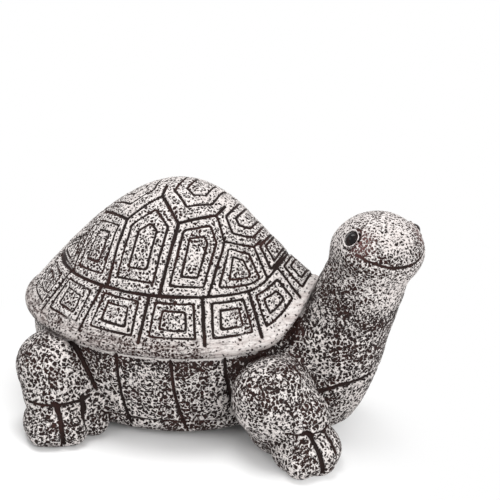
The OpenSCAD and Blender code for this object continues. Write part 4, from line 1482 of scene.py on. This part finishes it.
    def head_grooves(self, turtle, seams, lines):
        """The mouth, the fold of the throat and the rings round the eyes."""
        b = turtle.b
        a = np.linspace(-b.mouth_half, b.mouth_half, 40)
        z = turtle.mouth_z(a)
        k = np.sqrt(1 - (z / b.head_half_h) ** 2)
        mouth = np.stack([b.head_half_l * k * np.cos(a), b.head_half_w * k * np.sin(a), z], 1)
        lines.extend(self.broad(turtle.head_point(mouth), [0, 0, self.mouth_half_w]))
        t = self.throat_arc
        x = turtle.half_l + b.neck_ahead + self.throat_half_l * np.cos(t)
        throat = np.stack([x, self.throat_half_w * np.sin(t), self.throat_z - self.throat_sag * t**2], 1)
        seams.extend(self.broad(throat, [0, 0, self.groove_half]))
        t = np.linspace(0, 2 * math.pi, 25)[:, None]
        for name in EYES:
            centre, r, n, u, v = turtle.eye(name)
            ring = (r + b.eyelid) * (u * np.cos(t) + v * np.sin(t))
            lines.append(centre + n * (r - b.eye_out - b.eyelid) + ring)


class TURTLE_OT_eyes(bpy.types.Operator):
    """Build the two glossy eye beads"""

    bl_idname = "turtle.eyes"
    bl_label = "Eyes"

    around = 48
    rows = np.radians(np.linspace(4, 176, 30))
    flattening = 0.05

    def execute(self, context):
        turtle = Turtle(context.scene)
        material = bead_material(context.scene.turtle_paint)
        t = turns(self.around)[:, None]
        for name in EYES:
            centre, r, n, u, v = turtle.eye(name)
            centre = turtle.world(centre)
            across = u * np.cos(t) + v * np.sin(t)
            loops = []
            for a in self.rows:
                swell = r * (1 - self.flattening * math.sin(2 * a) ** 2)
                loops.append(centre + swell * (math.cos(a) * n + math.sin(a) * across))
            bead = loft(name + "_bead", loops, centre + r * n, centre - r * n)
            bead.data.materials.append(material)
            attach(bead, "body")
            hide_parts(name)
        return {"FINISHED"}


class TURTLE_OT_stage(bpy.types.Operator):
    """Set up floor, light and camera"""

    bl_idname = "turtle.stage"
    bl_label = "Stage"

    floor_half = 6.0
    sensor = 36
    nearest = 0.01
    lit_at = Vector((0, 0, 0.04))
    lamps = (
        ("key", (-0.12, 0.05, 1.1), 0.5),
        ("front", (-0.55, -0.7, 0.5), 0.6),
        ("fill", (0.75, -0.5, 0.45), 0.6),
    )
    fade_shift = (0.025, 0.03, 0.0)
    fade_span = (0.05, 0.13)

    def execute(self, context):
        scene = context.scene
        stage = scene.turtle_stage
        turtle = Turtle(scene)
        half = self.floor_half
        corners = [(-half, -half, 0), (half, -half, 0), (half, half, 0), (-half, half, 0)]
        floor = mesh_object("floor", corners, [(0, 1, 2, 3)])
        floor.data.materials.append(self.floor_material())
        scene.world = self.sky(stage.sky)
        middle = Vector((turtle.x, 0, stage.aim_z))
        a, e = stage.azimuth, stage.elevation
        back = Vector((math.sin(a) * math.cos(e), -math.cos(a) * math.cos(e), math.sin(e)))
        right = Vector((math.cos(a), math.sin(a), 0))
        up = back.cross(right)
        behind = (back - right * stage.aim_x - up * stage.aim_y).normalized()
        across = (right - behind * right.dot(behind)).normalized()
        data = bpy.data.cameras.new("camera")
        data.lens = stage.lens
        data.sensor_width = self.sensor
        data.clip_start = self.nearest
        camera = bpy.data.objects.new("camera", data)
        turn = Matrix((across, behind.cross(across), behind)).transposed().to_4x4()
        camera.matrix_world = Matrix.Translation(middle + back * stage.distance) @ turn
        scene.collection.objects.link(camera)
        scene.camera = camera
        for name, place, size in self.lamps:
            self.lamp(scene, name, place, size, getattr(stage, name))
        scene.view_settings.view_transform = "Standard"
        return {"FINISHED"}

    def lamp(self, scene, name, place, size, power):
        """A square soft light that faces the turtle."""
        data = bpy.data.lights.new(name, "AREA")
        data.size = size
        data.energy = power
        lamp = bpy.data.objects.new(name, data)
        lamp.location = place
        lamp.rotation_euler = (self.lit_at - Vector(place)).to_track_quat("-Z", "Y").to_euler()
        scene.collection.objects.link(lamp)

    def sky(self, strength):
        """Even light from all round, seen as white."""
        world = bpy.data.worlds.new("sky")
        world.use_nodes = True
        graph = Graph(world.node_tree)
        seen = self.seen(graph)
        glow = seen + (1.0 - seen) * strength
        light = graph.node("ShaderNodeBackground", {}, {"Color": (1, 1, 1, 1), "Strength": glow})
        graph.node("ShaderNodeOutputWorld", {}, {"Surface": light})
        return world

    def seen(self, graph):
        """1 for rays from the camera and in reflections, and 0 for light."""
        path = graph.node("ShaderNodeLightPath", {}, {}, "Is Camera Ray")
        return path.most(path.out("Is Glossy Ray")).most(path.out("Is Transmission Ray"))

    def floor_material(self):
        """Pale floor that fades to white and keeps the shadow."""
        material = bpy.data.materials.new("floor")
        material.use_nodes = True
        graph = Graph(material.node_tree)
        place = graph.node("ShaderNodeTexCoord", {}, {}, "Object")
        tone = graph.mix(graph.noise(place, 0.05, 2.0), (0.84, 0.84, 0.84, 1), (0.86, 0.86, 0.86, 1))
        matt = graph.node("ShaderNodeBsdfDiffuse", {}, {"Color": tone})
        white = graph.node("ShaderNodeEmission", {}, {"Color": (1, 1, 1, 1), "Strength": 1.0})
        near = graph.vector("ADD", place, self.fade_shift)
        far = graph.node("ShaderNodeVectorMath", {"operation": "LENGTH"}, {0: near}, "Value")
        fade = self.seen(graph) * far.step(*self.fade_span)
        both = graph.node("ShaderNodeMixShader", {}, {0: fade, 1: matt, 2: white})
        graph.node("ShaderNodeOutputMaterial", {}, {"Surface": both})
        return material


class TURTLE_PT_panel(bpy.types.Panel):
    """Sizes, colours and steps of the turtle"""

    bl_idname = "TURTLE_PT_panel"
    bl_label = "Turtle"
    bl_space_type = "VIEW_3D"
    bl_region_type = "UI"
    bl_category = "Turtle"

    def draw(self, context):
        layout = self.layout
        for step in STEPS:
            layout.operator(step.bl_idname)
        for name, group in GROUPS.items():
            box = layout.box()
            box.label(text=group.__doc__)
            values = getattr(context.scene, name)
            for key in group.__annotations__:
                box.prop(values, key)


STEPS = (TURTLE_OT_shell, TURTLE_OT_body, TURTLE_OT_eyes, TURTLE_OT_stage)
CLASSES = (*GROUPS.values(), *STEPS, TURTLE_PT_panel)


def register():
    for cls in CLASSES:
        bpy.utils.register_class(cls)
    for name, group in GROUPS.items():
        setattr(bpy.types.Scene, name, PointerProperty(type=group))


def unregister():
    for name in GROUPS:
        delattr(bpy.types.Scene, name)
    for cls in reversed(CLASSES):
        bpy.utils.unregister_class(cls)


def main():
    register()
    bpy.ops.turtle.shell()
    bpy.ops.turtle.body()
    bpy.ops.turtle.eyes()
    bpy.ops.turtle.stage()
    bpy.context.view_layer.update()


if __name__ == "__main__":
    main()
